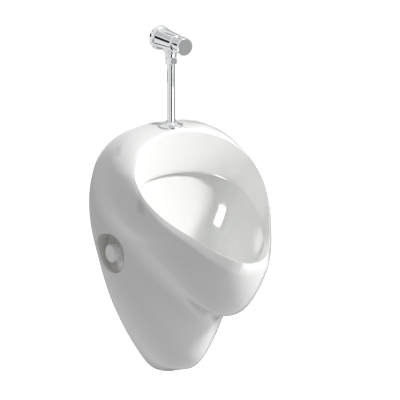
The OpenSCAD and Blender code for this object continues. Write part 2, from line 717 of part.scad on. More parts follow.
// Flush valve: modelled along Z from the wall face outwards, then laid on its side
chamber_r = 11.5;
seat_out = disc_t + 18;
seat_t = 5;
spring_out = -10;
spring_r = 5.6;
spigot_bore = 7.2;
barrel_end = disc_t + 1 + barrel_len;
bonnet_in = 8;
thread_root_r = thread_r - 0.3;
module at_valve(from = 0) {
    from_foot() translate([0, -from, valve_h]) rotate([90, 0, 0]) children();
}
module valve_body() {
    front = barrel_end;
    spigot_foot = nut_lip + cone_h - nut_h;
    color(chrome) difference() {
        union() {
            at_valve() rotate_extrude() polygon(concat(
                [[0, -thread_len], [thread_r - 1.2, -thread_len], [thread_r, -thread_len + 1.2],
                [thread_r, 0], [thread_root_r, 0], [thread_root_r, disc_t], [barrel_r - 3, disc_t],
                [barrel_r - 3, disc_t + 1]],
                [for (a = [0:15:90]) [barrel_r - 3 + 3 * sin(a), disc_t + 4 - 3 * cos(a)]],
                [for (a = [0:15:90]) [barrel_front_r - 2 + 2 * cos(a), front - 2 + 2 * sin(a)]],
                [[0, front]]));
            from_foot() translate([0, -tube_out, valve_h - tee_drop]) rotate_extrude() polygon(concat(
                [[0, spigot_foot], [spigot_r, spigot_foot], [spigot_r, 0], [tee_r - 0.6, 0], [tee_r, 0.6]],
                [for (a = [0:15:75]) [tee_r + 5.5 - 5 * cos(a), tee_drop - barrel_r - 3 + 5 * sin(a)]],
                [[tee_r + 5.5, tee_drop - 8], [0, tee_drop - 8]]));
        }
        at_valve(-thread_len - over) cylinder(h = thread_len + disc_t, r = 5);
        at_valve(spring_out) cylinder(h = seat_out - spring_out, r = spigot_bore);
        at_valve(-thread_len - over) cylinder(h = 5 + over, r = spigot_bore);
        at_valve(disc_t + 4) cylinder(h = seat_out, r = chamber_r);
        at_valve(seat_out) cylinder(h = barrel_len, r = chamber_r + 1.5);
        at_tube(valve_h - tee_drop - nut_h) cylinder(h = tee_drop + nut_h, r = tube_r - tube_t - 0.5);
        at_tube(valve_h - tee_drop - nut_h) cylinder(h = nut_h + 9, r = tube_r + fit);
    }
}
module wall_disc() {
    color(chrome) at_valve() rotate_extrude() difference() {
        polygon(concat([[thread_r + fit, 0], [disc_r, 0], [disc_r, disc_t * 0.45]],
            [for (a = [15:15:75]) [disc_r - disc_t * 0.5 * (1 - cos(a)), disc_t * 0.45 + disc_t * 0.5 * sin(a)]],
            [[disc_r * 0.75, disc_t], [thread_r + fit, disc_t]]));
        translate([thread_r + 2, -over]) square([disc_r - thread_r - 4, disc_t * 0.45 + over]);
    }
}
module inlet_filter() {
    color(steel) at_valve(-thread_len) difference() {
        union() {
            cylinder(h = 1, r = spigot_bore - fit);
            cylinder(h = 4.5, r = 4.8);
        }
        translate([0, 0, -over]) cylinder(h = 4.8, r = 4);
        for (k = [1:6]) rotate([0, 0, 60 * k]) translate([2.4, 0, 0]) cylinder(h = 6, r = 0.6);
    }
}
module seat_ring() {
    color("goldenrod") at_valve(seat_out) tube(seat_t, chamber_r + 1.5 - fit, 7.5);
}
module poppet() {
    color("goldenrod") at_valve(seat_out - 7.5) difference() {
        union() {
            cylinder(h = 5, r = 9.5);
            translate([0, 0, -3]) cylinder(h = 3 + over, r = spring_r - 1.2);
        }
        translate([0, 0, -3 - over]) cylinder(h = 9 + 2 * over, r = 3 + fit);
    }
}
module poppet_seal() {
    color(dark_rubber) at_valve(seat_out - 2.5) tube(2.5, 9.3, 4 + fit);
}
button_end = barrel_end + neck_len + button_len;
module push_stem() {
    color(steel) at_valve(seat_out - 10.5) {
        cylinder(h = 8, r = 3);
        translate([0, 0, 8]) cylinder(h = button_end - 3 - seat_out + 2.5, r = 4);
    }
}
// The closed round coil: one tube swept along the turns, laid flat at both ends
coil_from = spring_out + spring_wire_r;
coil_len = seat_out - 7.5 - spring_wire_r - coil_from;
coil_steps = 12;
function coil_at(k) = let (t = k / (spring_turns * coil_steps), a = 360 * spring_turns * t)
    [spring_r * cos(a), spring_r * sin(a), coil_from + coil_len * t];
function coil_ring(k) = let (c = coil_at(k), a = 360 * k / coil_steps)
    [for (i = [0:5]) c + spring_wire_r * (cos(60 * i) * [cos(a), sin(a), 0] + sin(60 * i) * [0, 0, 1])];
module return_spring() {
    n = spring_turns * coil_steps;
    pts = [for (k = [0:n]) each coil_ring(k)];
    color(steel) at_valve() polyhedron(pts, concat(
        [for (k = [0:n - 1]) for (i = [0:5]) [6 * k + i, 6 * k + 6 + i, 6 * k + (i + 1) % 6]],
        [for (k = [0:n - 1]) for (i = [0:5]) [6 * k + (i + 1) % 6, 6 * k + 6 + i, 6 * k + 6 + (i + 1) % 6]],
        [[0, 1, 2], [0, 2, 3], [0, 3, 4], [0, 4, 5]],
        [for (i = [1:4]) [6 * n, 6 * n + i + 1, 6 * n + i]]), convexity = 6);
}
module bonnet() {
    nose = barrel_end + neck_len + button_len - 3 - button_travel - 1;
    color(chrome) at_valve() difference() {
        union() {
            translate([0, 0, barrel_end - bonnet_in]) cylinder(h = bonnet_in, r = chamber_r + 1.5 - fit);
            translate([0, 0, barrel_end]) cylinder(h = 1, r = neck_r + 1);
            translate([0, 0, barrel_end]) cylinder(h = nose - barrel_end, r = neck_r);
        }
        translate([0, 0, barrel_end - bonnet_in - over]) cylinder(h = nose, r = 4 + run_fit);
        translate([0, 0, barrel_end - bonnet_in - over]) cylinder(h = 4 + over, r = 6);
        translate([0, 0, barrel_end - bonnet_in + 2]) tube(2.4, chamber_r + 3, chamber_r - 0.4);
    }
}
module bonnet_ring() {
    color(dark_rubber) at_valve(barrel_end - bonnet_in + 3.2) rotate_extrude()
        translate([chamber_r + 0.5, 0]) circle(r = 0.85, $fn = 24);
}
module stem_ring() {
    color(dark_rubber) at_valve(barrel_end - bonnet_in + 2.6) rotate_extrude()
        translate([4 + run_fit + 0.95, 0]) circle(r = 0.9, $fn = 24);
}
module push_button() {
    rear = barrel_end + neck_len;
    lip = button_r - neck_r - gap - 0.2;
    color(chrome) at_valve() rotate_extrude() polygon(concat(
        [[neck_r + gap, rear]],
        [for (a = [0:15:90]) [button_r - lip + lip * sin(a), rear + 3 - 3 * cos(a)]],
        [for (a = [0:15:90]) [button_r - 2 + 2 * cos(a), button_end - 2 + 2 * sin(a)]],
        [[0, button_end], [0, button_end - 3], [neck_r + gap, button_end - 3]]));
}

ceramic_body();
wall_bracket_left();
wall_bracket_right();
wall_screws();
wall_washers();
wall_plugs();
side_bush_left();
side_bush_right();
side_washer_left();
side_washer_right();
side_screw_left();
side_screw_right();
side_cap_left();
side_cap_right();
waste_strainer();
strainer_screw();
waste_gasket();
waste_tail();
backnut_washer();
waste_backnut();
trap_top_nut();
trap_top_seal();
trap_top();
dip_tube();
cup_seal();
trap_cup();
outlet_seal();
outlet_nut();
outlet_pipe();
wall_collar();
inlet_grommet();
tube_rosette();
flush_tube();
tube_cone();
tube_nut();
valve_body();
wall_disc();
inlet_filter();
seat_ring();
return_spring();
poppet();
poppet_seal();
push_stem();
stem_ring();
bonnet();
bonnet_ring();
push_button();
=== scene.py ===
"""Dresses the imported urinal: a glazed bowl, its side fixings and trap, and a chrome push-button valve.

Sizes of the bowl are millimetres, its heights are taken from the ceramic's lowest point, and "out" is a
distance out of the wall. Cards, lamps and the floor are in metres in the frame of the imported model, and
so is every mesh that is written.
"""

import logging
import math
from dataclasses import dataclass, field
from enum import Enum
from typing import Any, Callable, Sequence

import bpy
import numpy as np
from mathutils import Matrix, Vector


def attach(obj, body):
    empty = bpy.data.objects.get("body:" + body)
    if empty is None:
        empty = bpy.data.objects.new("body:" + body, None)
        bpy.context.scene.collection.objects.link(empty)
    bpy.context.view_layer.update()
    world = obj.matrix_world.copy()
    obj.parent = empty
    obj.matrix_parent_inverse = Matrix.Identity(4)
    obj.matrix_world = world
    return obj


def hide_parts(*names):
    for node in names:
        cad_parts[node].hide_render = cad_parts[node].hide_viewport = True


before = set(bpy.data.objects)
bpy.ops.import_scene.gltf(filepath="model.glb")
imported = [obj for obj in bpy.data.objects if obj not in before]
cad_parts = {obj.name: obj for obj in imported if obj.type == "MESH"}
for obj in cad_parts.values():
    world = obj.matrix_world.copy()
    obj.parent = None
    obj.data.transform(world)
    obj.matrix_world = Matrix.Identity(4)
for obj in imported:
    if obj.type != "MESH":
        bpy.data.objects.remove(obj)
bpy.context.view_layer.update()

log = logging.getLogger("urinal")
Array = np.ndarray
Faces = list[list[int]]
Triple = tuple[float, float, float]
Socket = bpy.types.NodeSocket

# Metres in a millimetre
METRE = 0.001
# Height of the side screws over the ceramic's lowest point, where the frame has its origin
FIX_H = 268.0
# Faces that meet at less than this many degrees are shaded as one
SMOOTH_BELOW = 35.0
# Turns a point of the right half into its twin on the left
MIRROR = np.array([-1, 1, 1])


class Cut(Enum):
    """How one solid is joined with another."""

    TAKE = "DIFFERENCE"
    ADD = "UNION"


class Side(Enum):
    """The two sides of the bowl, as the sign of X."""

    LEFT = -1
    RIGHT = 1


# Meshes
def to_frame(points: Array) -> Array:
    """Turns (sideways, out of the wall, height) in millimetres into metres in the model's frame.

    Args:
        points: any array whose last axis is the three lengths.
    Returns:
        The same array with out turned into -Y and heights counted from the side screws.
    """
    return np.stack([points[..., 0], -points[..., 1], points[..., 2] - FIX_H], -1) * METRE


def new_piece(name: str, points: Array, faces: Faces) -> bpy.types.Object:
    """Makes a mesh object at the origin.

    Args:
        name: name of the object and its mesh.
        points: corner points in metres.
        faces: lists of corner numbers, counter-clockwise from outside.
    Returns:
        The object, linked to the scene.
    """
    mesh = bpy.data.meshes.new(name)
    mesh.from_pydata(np.asarray(points, float).reshape(-1, 3).tolist(), [], faces)
    mesh.validate()
    mesh.shade_smooth()
    mesh.set_sharp_from_angle(angle=math.radians(SMOOTH_BELOW))
    piece = bpy.data.objects.new(name, mesh)
    bpy.context.scene.collection.objects.link(piece)
    return piece


def sheet_faces(n: int) -> Faces:
    """Quads of an open grid of n by n points, numbered row by row.

    Args:
        n: points along each side.
    Returns:
        The faces.
    """
    i, j = np.meshgrid(np.arange(n - 1), np.arange(n - 1), indexing="ij")
    corner = i * n + j
    return np.stack([corner, corner + n, corner + n + 1, corner + 1], -1).reshape(-1, 4).tolist()


def closed_rings(columns: Array, first: Array, last: Array) -> tuple[Array, Faces]:
    """Closes columns of points into one solid.

    Column j and j + 1 are joined by quads, the last column joins the first, and all columns
    meet in a pole at each end.

    Args:
        columns: (columns, rings, 3) points, turning so that the faces look outwards.
        first: pole beside ring 0.
        last: pole beside the last ring.
    Returns:
        The points and the faces.
    """
    n, m, _ = columns.shape
    points = np.vstack([columns.reshape(-1, 3), first, last])
    here = np.arange(n)[:, None] * m
    beside = np.roll(np.arange(n), -1)[:, None] * m
    k = np.arange(m - 1)[None, :]
    quads = np.stack([here + k, here + k + 1, beside + k + 1, beside + k], -1).reshape(-1, 4)
    head = np.stack([np.full(n, n * m), here[:, 0], beside[:, 0]], -1)
    tail = np.stack([np.full(n, n * m + 1), beside[:, 0] + m - 1, here[:, 0] + m - 1], -1)
    return points, quads.tolist() + head.tolist() + tail.tolist()


def lathe(profile: Sequence[Sequence[float]], sides: int = 96) -> tuple[Array, Faces]:
    """Turns a profile about Z into a solid: the point (r cos a, r sin a, z) for each angle a.

    Args:
        profile: (r, z) rows from the axis at the foot round to the axis at the head.
        sides: steps of the turn.
    Returns:
        The points in millimetres and the faces.
    """
    rows = np.asarray(profile, float)
    a = np.linspace(0, 2 * np.pi, sides, endpoint=False)[:, None]
    grid = np.stack([rows[:, 0] * np.cos(a), rows[:, 0] * np.sin(a), rows[:, 1] + 0 * a], -1)
    points, faces = closed_rings(grid[:, 1:-1], grid[0, 0], grid[0, -1])
    return points, [face[::-1] for face in faces]


def combine(piece: bpy.types.Object, tool: bpy.types.Object, how: Cut) -> None:
    """Cuts or joins a solid with another, which is used up.

    Args:
        piece: the solid that is changed.
        tool: the solid that is taken away or added.
        how: which of the two.
    """
    step = piece.modifiers.new("step", "BOOLEAN")
    step.operation = how.value
    step.solver = "MANIFOLD"
    step.object = tool
    seen = piece.evaluated_get(bpy.context.evaluated_depsgraph_get())
    mesh = bpy.data.meshes.new_from_object(seen)
    piece.modifiers.clear()
    old = piece.data
    piece.data = mesh
    mesh.name = piece.name
    bpy.data.meshes.remove(old)
    bpy.data.objects.remove(tool)


# Curves
def curve_at(line: Array, u: Array) -> Array:
    """Catmull-Rom curve through the rows of a line, carried on past both ends by its mirror image.

    Args:
        line: control points, the first entry of each being the sideways share.
        u: places on the curve, counted in points.
    Returns:
        One point for each place.
    """
    mirror = np.r_[-1.0, np.ones(line.shape[1] - 1)]
    longer = np.vstack([line[1] * mirror, line, line[-2] * mirror])
    i = np.clip(np.floor(u).astype(int), 0, len(line) - 2)
    t = (u - i)[..., None]
    a, b, c, d = longer[i], longer[i + 1], longer[i + 2], longer[i + 3]
    return b + t / 2 * (c - a + t * (2 * a - 5 * b + 4 * c - d + t * (3 * (b - c) + d - a)))


def smooth_at(line: Array, x: Array) -> Array:
    """Cubic curve through points, level at both ends, with the middle slopes weighed by the gaps.

    Args:
        line: rows of (place, value), by rising place.
        x: places to read.
    Returns:
        One value for each place.
    """
    at, y = line[:, 0], line[:, 1]
    h = np.diff(at)
    s = np.diff(y) / h
    steep = np.zeros(len(at))
    steep[1:-1] = (h[1:] * s[:-1] + h[:-1] * s[1:]) / (h[:-1] + h[1:])
    i = np.clip(np.searchsorted(at, x, side="right") - 1, 0, len(at) - 2)
    t = (x - at[i]) / h[i]
    m0, m1 = steep[i] * h[i], steep[i + 1] * h[i]
    p0, p1 = y[i], y[i + 1]
    return p0 + t * (m0 + t * (3 * (p1 - p0) - 2 * m0 - m1 + t * (2 * (p0 - p1) + m0 + m1)))


def bend(start: Array, corner: Array, end: Array, steps: int) -> list[Array]:
    """Rounds off a corner: (1 - t)^2 start + 2 t (1 - t) corner + t^2 end for t from 0 to 1.

    Args:
        start: points where the bends begin.
        corner: points they are drawn towards.
        end: points where they end.
        steps: how many rows to make.
    Returns:
        The rows, from start to end.
    """
    shares = np.linspace(0, 1, steps)
    return [(1 - t) ** 2 * start + 2 * t * (1 - t) * corner + t * t * end for t in shares]


def solve(rising: Callable[[Array], Array], goal: Array, top: float, halvings: int = 28) -> Array:
    """Finds by halving where a rising function of one place reaches each goal.

    Args:
        rising: the function.
        goal: values to reach.
        top: end of the search, which starts from 0.
        halvings: how often the search is halved.
    Returns:
        One place for each goal.
    """
    low, high = np.zeros_like(goal), np.full_like(goal, top)
    for _ in range(halvings):
        mid = (low + high) / 2
        under = rising(mid) < goal
        low, high = np.where(under, mid, low), np.where(under, high, mid)
    return (low + high) / 2


def rows_field(*rows: Sequence[float]) -> Any:
    """A dataclass field that starts as an array of these rows."""
    return field(default_factory=lambda: np.array(rows))


# Finishes
class Graph:
    """A material's node tree with short calls to add and join nodes."""

    def __init__(self, name: str) -> None:
        """Starts a material with one Principled shader.

        Args:
            name: name of the material.
        """
        self.material = bpy.data.materials.new(name)
        self.material.use_nodes = True
        self.tree = self.material.node_tree
        self.shader = self.tree.nodes["Principled BSDF"]
        self.place = self.add("ShaderNodeTexCoord").outputs["Object"]

    def add(self, kind: str, **settings: object) -> bpy.types.Node:
        """Adds a node.

        Args:
            kind: Blender's name of the node.
            settings: its properties, or its inputs where no property has the name.
        Returns:
            The node.
        """
        node = self.tree.nodes.new(kind)
        for key, value in settings.items():
            if hasattr(node, key):
                setattr(node, key, value)
            else:
                node.inputs[key.replace("_", " ")].default_value = value
        return node

    def join(self, source: Socket, target: Socket) -> None:
        """Links an output to an input."""
        self.tree.links.new(source, target)

    def feed(self, source: Socket, name: str) -> None:
        """Links an output to the shader's input of that name."""
        self.join(source, self.shader.inputs[name])

    def set(self, **values: object) -> None:
        """Sets the shader's own inputs, with _ for a space in their names."""
        for key, value in values.items():
            self.shader.inputs[key.replace("_", " ")].default_value = value

    def stretched(self, scale: Triple) -> Socket:
        """Object coordinates scaled by axis.

        Args:
            scale: how many times along X, Y and Z.
        Returns:
            The scaled place.
        """
        node = self.add("ShaderNodeMapping")
        node.inputs["Scale"].default_value = scale
        self.join(self.place, node.inputs["Vector"])
        return node.outputs[0]

    def noise(self, scale: float, detail: float = 2.0, vector: Socket | None = None) -> Socket:
        """Cloudy noise from 0 to 1.

        Args:
            scale: waves a metre.
            detail: how many finer layers it has.
            vector: where it is read, or the object's own coordinates.
        Returns:
            The pattern.
        """
        node = self.add("ShaderNodeTexNoise", Scale=scale, Detail=detail)
        self.join(vector or self.place, node.inputs["Vector"])
        return node.outputs[0]

    def spread(self, value: Socket, low: float, high: float, start: float = 0.3, end: float = 0.7) -> Socket:
        """Maps a pattern from start..end onto low..high.

        Args:
            value: the pattern.
            low: result at start and below.
            high: result at end and above.
            start: where the pattern's range begins.
            end: where it ends.
        Returns:
            The mapped value.
        """
        node = self.add("ShaderNodeMapRange", clamp=True)
        for key, number in zip(("From Min", "From Max", "To Min", "To Max"), (start, end, low, high)):
            node.inputs[key].default_value = number
        self.join(value, node.inputs["Value"])
        return node.outputs[0]

    def tint(self, value: Socket, low: Triple, high: Triple, start: float = 0.3, end: float = 0.7) -> Socket:
        """Colour that runs from low to high with a pattern.

        Args:
            value: the pattern.
            low: colour at start and below.
            high: colour at end and above.
            start: where the pattern's range begins.
            end: where it ends.
        Returns:
            The colour.
        """
        ramp = self.add("ShaderNodeValToRGB")
        for stop, place, colour in zip(ramp.color_ramp.elements, (start, end), (low, high)):
            stop.position = place
            stop.color = (*colour, 1)
        self.join(value, ramp.inputs[0])
        return ramp.outputs[0]

    def bump(self, height: Socket, depth: float, strength: float) -> None:
        """Puts relief from a pattern on the shader.

        Args:
            height: the pattern.
            depth: metres from its lowest to its highest.
            strength: share of the relief that is shown.
        """
        node = self.add("ShaderNodeBump", Strength=strength, Distance=depth)
        self.join(height, node.inputs["Height"])
        self.feed(node.outputs[0], "Normal")


@dataclass(frozen=True)
class Glaze:
    """White glaze on vitreous china: a glassy coat with faint orange peel and a slow drift of tone.

    The attribute pocket, from 0 to 1, mixes in a painted shade colour that darkens the side pockets with
    depth.
    """

    name: str = "white_glaze"
    thick: Triple = (0.81, 0.814, 0.798)
    thin: Triple = (0.785, 0.788, 0.77)
    # Painted shade: the darker colour painted deep in the side pockets, where shade falls
    painted_pocket_shade: Triple = (0.64, 0.62, 0.58)
    drift_waves: float = 7.0
    smooth: float = 0.07
    rough: float = 0.12
    rough_waves: float = 26.0
    peel: float = 0.00012
    peel_waves: float = 95.0

    def material(self) -> bpy.types.Material:
        """Builds the node tree.

        Returns:
            The material.
        """
        g = Graph(self.name)
        # The attribute pocket mixes the painted pocket shade into the glaze's colour
        mix = g.add("ShaderNodeMix", data_type="RGBA")
        g.join(g.add("ShaderNodeAttribute", attribute_name="pocket").outputs["Fac"], mix.inputs[0])
        g.join(g.tint(g.noise(self.drift_waves, 3.0), self.thin, self.thick), mix.inputs[6])
        mix.inputs[7].default_value = (*self.painted_pocket_shade, 1)
        g.feed(mix.outputs[2], "Base Color")
        g.feed(g.spread(g.noise(self.rough_waves, 3.0), self.smooth, self.rough), "Roughness")
        g.bump(g.noise(self.peel_waves, 1.5), self.peel, 0.12)
        g.set(IOR=1.52, Coat_Weight=0.35, Coat_Roughness=0.04, Coat_IOR=1.5)
        return g.material


@dataclass(frozen=True)
class Plated:
    """Bright plating over polished metal, with hairlines from wiping and faint water haze."""

    name: str = "polished_chrome"
    colour: Triple = (0.72, 0.73, 0.74)
    haze_shade: float = 0.97
    haze_waves: float = 55.0
    rough: float = 0.045
    haze_rough: float = 0.05
    hairline: float = 0.00003
    hairline_waves: float = 120.0
    hairline_pull: Triple = (1.0, 1.0, 6.0)

    def material(self) -> bpy.types.Material:
        """Builds the node tree.

        Returns:
            The material.
        """
        g = Graph(self.name)
        hazy = g.noise(self.haze_waves, 4.0)
        g.feed(g.spread(hazy, self.rough, self.rough + self.haze_rough, 0.45, 0.75), "Roughness")
        g.feed(g.tint(hazy, self.colour, tuple(self.haze_shade * c for c in self.colour)), "Base Color")
        g.bump(g.noise(self.hairline_waves, 3.0, g.stretched(self.hairline_pull)), self.hairline, 0.06)
        g.set(Metallic=1.0)
        return g.material


@dataclass(frozen=True)
class ZincSteel:
    """Zinc-plated steel: crystals of slightly different grey, dulled with handling."""

    name: str = "zinc_plate"
    light: Triple = (0.72, 0.74, 0.76)
    dark: Triple = (0.5, 0.52, 0.55)
    crystals: float = 260.0
    smooth: float = 0.28
    rough: float = 0.5
    rough_waves: float = 90.0
    grain: float = 0.00008
    grain_waves: float = 900.0

    def material(self) -> bpy.types.Material:
        """Builds the node tree.

        Returns:
            The material.
        """
        g = Graph(self.name)
        cells = g.add("ShaderNodeTexVoronoi", Scale=self.crystals)
        g.join(g.place, cells.inputs["Vector"])
        g.feed(g.tint(cells.outputs["Distance"], self.dark, self.light, 0.1, 0.8), "Base Color")
        g.feed(g.spread(g.noise(self.rough_waves, 4.0), self.smooth, self.rough), "Roughness")
        g.bump(g.noise(self.grain_waves, 3.0), self.grain, 0.3)
        g.set(Metallic=1.0)
        return g.material


@dataclass(frozen=True)
class Moulded:
    """Moulded plastic or rubber with a fine spark-eroded grain."""

    name: str
    colour: Triple
    rough: float
    grain_waves: float
    grain: float
    glow: float = 0.0
    shade: float = 0.9
    shade_waves: float = 35.0
    smoother: float = 0.06
    rougher: float = 0.08
    rough_waves: float = 160.0

    def material(self) -> bpy.types.Material:
        """Builds the node tree.

        Returns:
            The material.
        """
        g = Graph(self.name)
        dark = tuple(self.shade * c for c in self.colour)
        handled = g.noise(self.rough_waves, 3.0)
        g.feed(g.tint(g.noise(self.shade_waves, 4.0), dark, self.colour), "Base Color")
        g.feed(g.spread(handled, self.rough - self.smoother, self.rough + self.rougher), "Roughness")
        g.bump(g.noise(self.grain_waves, 2.0), self.grain, 0.35)
        g.set(Subsurface_Weight=self.glow, Subsurface_Scale=0.003)
        return g.material


@dataclass(frozen=True)
class TurnedBrass:
    """Brass as it leaves the lathe: fine rings round the valve's axis and a light brown bloom."""

    name: str = "turned_brass"
    light: Triple = (0.86, 0.66, 0.33)
    dark: Triple = (0.66, 0.47, 0.2)
    bloom_waves: float = 120.0
    smooth: float = 0.18
    rough: float = 0.34
    rough_waves: float = 300.0
    ring: float = 0.00003
    ring_waves: float = 2.0
    ring_pull: Triple = (1.0, 900.0, 1.0)

    def material(self) -> bpy.types.Material:
        """Builds the node tree.

        Returns:
            The material.
        """
        g = Graph(self.name)
        g.feed(g.tint(g.noise(self.bloom_waves, 4.0), self.dark, self.light), "Base Color")
        g.feed(g.spread(g.noise(self.rough_waves, 2.0), self.smooth, self.rough), "Roughness")
        g.bump(g.noise(self.ring_waves, 1.0, g.stretched(self.ring_pull)), self.ring, 0.2)
        g.set(Metallic=1.0)
        return g.material


class Finish(Enum):
    """The finishes of the nodes that keep their CAD shape."""

    CHROME = Plated()
    STEEL = ZincSteel()
    BRASS = TurnedBrass()
    RUBBER = Moulded("black_rubber", (0.028, 0.028, 0.03), 0.62, 900.0, 0.0001)
    TRAP_PLASTIC = Moulded("trap_plastic", (0.8, 0.8, 0.78), 0.4, 1400.0, 0.00005, 0.1)
    CAP_PLASTIC = Moulded("cap_plastic", (0.93, 0.93, 0.92), 0.3, 1800.0, 0.00002, 0.1)
    PLUG_NYLON = Moulded("plug_nylon", (0.4, 0.41, 0.43), 0.5, 1100.0, 0.00008)


# The bowl
@dataclass
class CeramicBowl:
    """The hooded bowl: one closed surface over rays from a hub, hollowed behind and cut for its fittings.

    A column of the surface runs from the waste up the inside, under the hood's edge, over the rim and
    down the outside: a belly that is a quarter of a superellipse on its ray, a fold, and the shield and
    chin, which are half an ellipse at each height.

    The lines are shares of half the width, the reach and the height. A row of a curve along the rays,
    from belly_share on, starts with a ray's angle in degrees, 0 straight down and 180 straight up.
    """

    height: float = 500.0
    half_w: float = 158.0
    reach: float = 331.25
    wall: float = 10.0
    rim_r: float = 5.0
    waste_out: float = 85.0
    waste_r: float = 22.0
    well_r: float = 37.0
    fix_out: float = 36.0
    pocket_deep: float = 18.0
    pocket_r: float = 28.0
    pocket_straight: float = 22.0
    pocket_floor_r: float = 4.0
    pocket_wall: float = 8.0
    lip_r: float = 3.2
    lip_first: float = 20.0
    lip_rings: int = 9
    pocket_floor_rings: int = 6
    screw_hole_r: float = 7.1
    tube_out: float = 40.0
    tube_boss_r: float = 22.0
    grommet_r: float = 14.1
    grommet_in: float = 22.0
    # Height of the hub and of the well's floor, as shares of the height
    hub_share: float = 0.8
    well_share: float = 0.344
    # Power that crowds the rays near straight down
    crowding: float = 1.3
    # How far the pad under the well reaches below its wall, and how far below the hub the poles behind lie
    pad_below: float = 4.0
    pole_drop: float = 40.0
    # How far a cutter reaches past the face that it opens
    over: float = 1.0
    # The gap from a pocket's boss inwards to the wall bracket, and the steps of the room for it, each a
    # radius, half a height and how far inwards of the bracket it starts
    bracket_gap: float = 4.0
    bracket_rooms: tuple[Triple, ...] = ((19.0, 42.0, 6.0), (12.0, 13.0, 16.0))
    bracket_slack: float = 0.02
    # Lengths of the blocks left standing for a pocket, the waste and the tube, past the hollow's far side
    pocket_block: float = 120.0
    waste_block: float = 125.0
    tube_block: float = 90.0
    # Rays and the rings of each stretch
    columns: int = 150
    belly_rings: int = 42
    fold_rings: int = 8
    shield_rings: int = 36
    band_rings: int = 7
    edge_rings: int = 8
    well_rings: int = 46
    rim_rings: int = 9
    hollow_rings: int = 30
    # First angle of the belly's quarter, and the first and last of the fold's, in degrees
    belly_first: float = 2.0
    fold_first: float = 10.0
    fold_last: float = 80.0
    # The fold's share of the way from rim to wall, its most of what the belly leaves, and its least step in
    fold_share: float = 0.09
    fold_most: float = 0.4
    fold_drop: float = 1.0
    # Rounds of easing, the ring where they are strongest, and how many rings they reach
    easing: int = 230
    ease_ring: int = 47
    ease_reach: float = 11.0
    # Share of the way that a point is eased, and the extra at the lower sides. The extra comes in from
    # the first angle of ease_rise over its second, and is gone by ease_fall's first, after its second
    ease_least: float = 0.26
    ease_more: float = 0.24
    ease_rise: tuple[float, float] = (22.0, 16.0)
    ease_fall: tuple[float, float] = (95.0, 25.0)
    # The band inside the rim, the bend round the hood's edge and the arch under it, as shares of the way
    # from the rim line to the hood line and on to the bowl line; bend_up and under_arch are millimetres
    band_from: float = 0.12
    band_to: float = 0.8
    bend_from: float = 0.86
    bend_to: float = 0.3
    bend_up: float = 2.2
    under_shares: tuple[float, ...] = (0.45, 0.6, 0.75, 0.88)
    under_arch: float = 18.0
    # The hollow: its gap behind the bowl's back and the rings there, the step to its deep part, and how
    # near that may come to the edge
    back_gap: float = 18.0
    back_shares: tuple[float, ...] = (0.34, 0.67, 1.0)
    deep_step: float = 5.0
    deep_margin: float = 14.0
    hollow_last: float = 0.03
    # The rim's rounding: its most of the way to the outside's first ring, the ring of the inside that it
    # heads for, how many of the inside's it takes up, and the share of its radius where the outside goes on
    rim_most: float = 0.8
    rim_heads_for: int = 3
    rim_takes: int = 2
    rim_clear: float = 0.9
    # Faces that meet at less than this many degrees are shaded as one on the finished ceramic
    smooth_below: float = 38.0
    wall_line: Array = rows_field(
        [0, 0], [0.15, 0.024], [0.3, 0.083], [0.525, 0.203], [0.735, 0.35], [0.89, 0.515], [0.975, 0.63],
        [1, 0.73], [0.965, 0.82], [0.86, 0.905], [0.69, 0.955], [0.5, 0.982], [0.25, 0.996], [0, 1])
    rim_line: Array = rows_field(
        [0, 1, 0.61], [0.2, 0.982, 0.624], [0.36, 0.895, 0.65], [0.545, 0.758, 0.697], [0.71, 0.62, 0.744],
        [0.82, 0.49, 0.802], [0.82, 0.38, 0.86], [0.755, 0.318, 0.894], [0.61, 0.258, 0.936],
        [0.4, 0.222, 0.966], [0.2, 0.206, 0.982], [0, 0.202, 0.988])
    hood_line: Array = rows_field(
        [0, 0.966, 0.598], [0.15, 0.935, 0.61], [0.3, 0.868, 0.634], [0.46, 0.735, 0.662], [0.59, 0.59, 0.7],
        [0.65, 0.44, 0.732], [0.652, 0.34, 0.754], [0.62, 0.265, 0.77], [0.52, 0.2, 0.784],
        [0.37, 0.15, 0.795], [0.19, 0.125, 0.801], [0, 0.117, 0.803])
    bowl_line: Array = rows_field(
        [0, 0.957, 0.575], [0.155, 0.932, 0.59], [0.32, 0.872, 0.615], [0.5, 0.75, 0.65], [0.65, 0.6, 0.692],
        [0.73, 0.44, 0.726], [0.735, 0.33, 0.75], [0.7, 0.245, 0.768], [0.59, 0.175, 0.784],
        [0.42, 0.12, 0.798], [0.215, 0.092, 0.806], [0, 0.084, 0.808])
    chin_line: Array = rows_field(
        [0, 0], [0.012, 0.09], [0.036, 0.19], [0.066, 0.315], [0.095, 0.37], [0.165, 0.44], [0.23, 0.482],
        [0.3, 0.515], [0.38, 0.5], [0.466, 0.437], [0.54, 0.36], [0.62, 0.265], [0.7, 0.2], [0.8, 0.15],
        [0.9, 0.12], [1, 0.1])
    belly_share: Array = rows_field(
        [0, 0.43], [10, 0.5], [28, 0.555], [40, 0.605], [55, 0.65], [65, 0.76], [75, 0.84], [95, 0.97],
        [180, 0.98])
    belly_end: Array = rows_field(
        [0, 0.68], [15, 0.58], [28, 0.45], [40, 0.335], [55, 0.22], [65, 0.165], [75, 0.13], [95, 0.07],
        [120, 0.05], [180, 0.03])
    belly_full: Array = rows_field(
        [0, 1.35], [30, 1.45], [60, 1.5], [90, 1.3], [120, 1.3], [150, 2.2], [180, 5])
    well_pinch: Array = rows_field(
        [0, 1.3], [20, 1.2], [40, 1.3], [60, 1.55], [82, 1.75], [97, 1.7], [112, 1.3], [135, 0.8],
        [180, 0.67])
    deep_from: Array = rows_field(
        [0, 0.468], [10, 0.47], [16, 0.455], [28, 0.4], [45, 0.31], [60, 0.24], [80, 0.2], [100, 0.17],
        [180, 0.14])

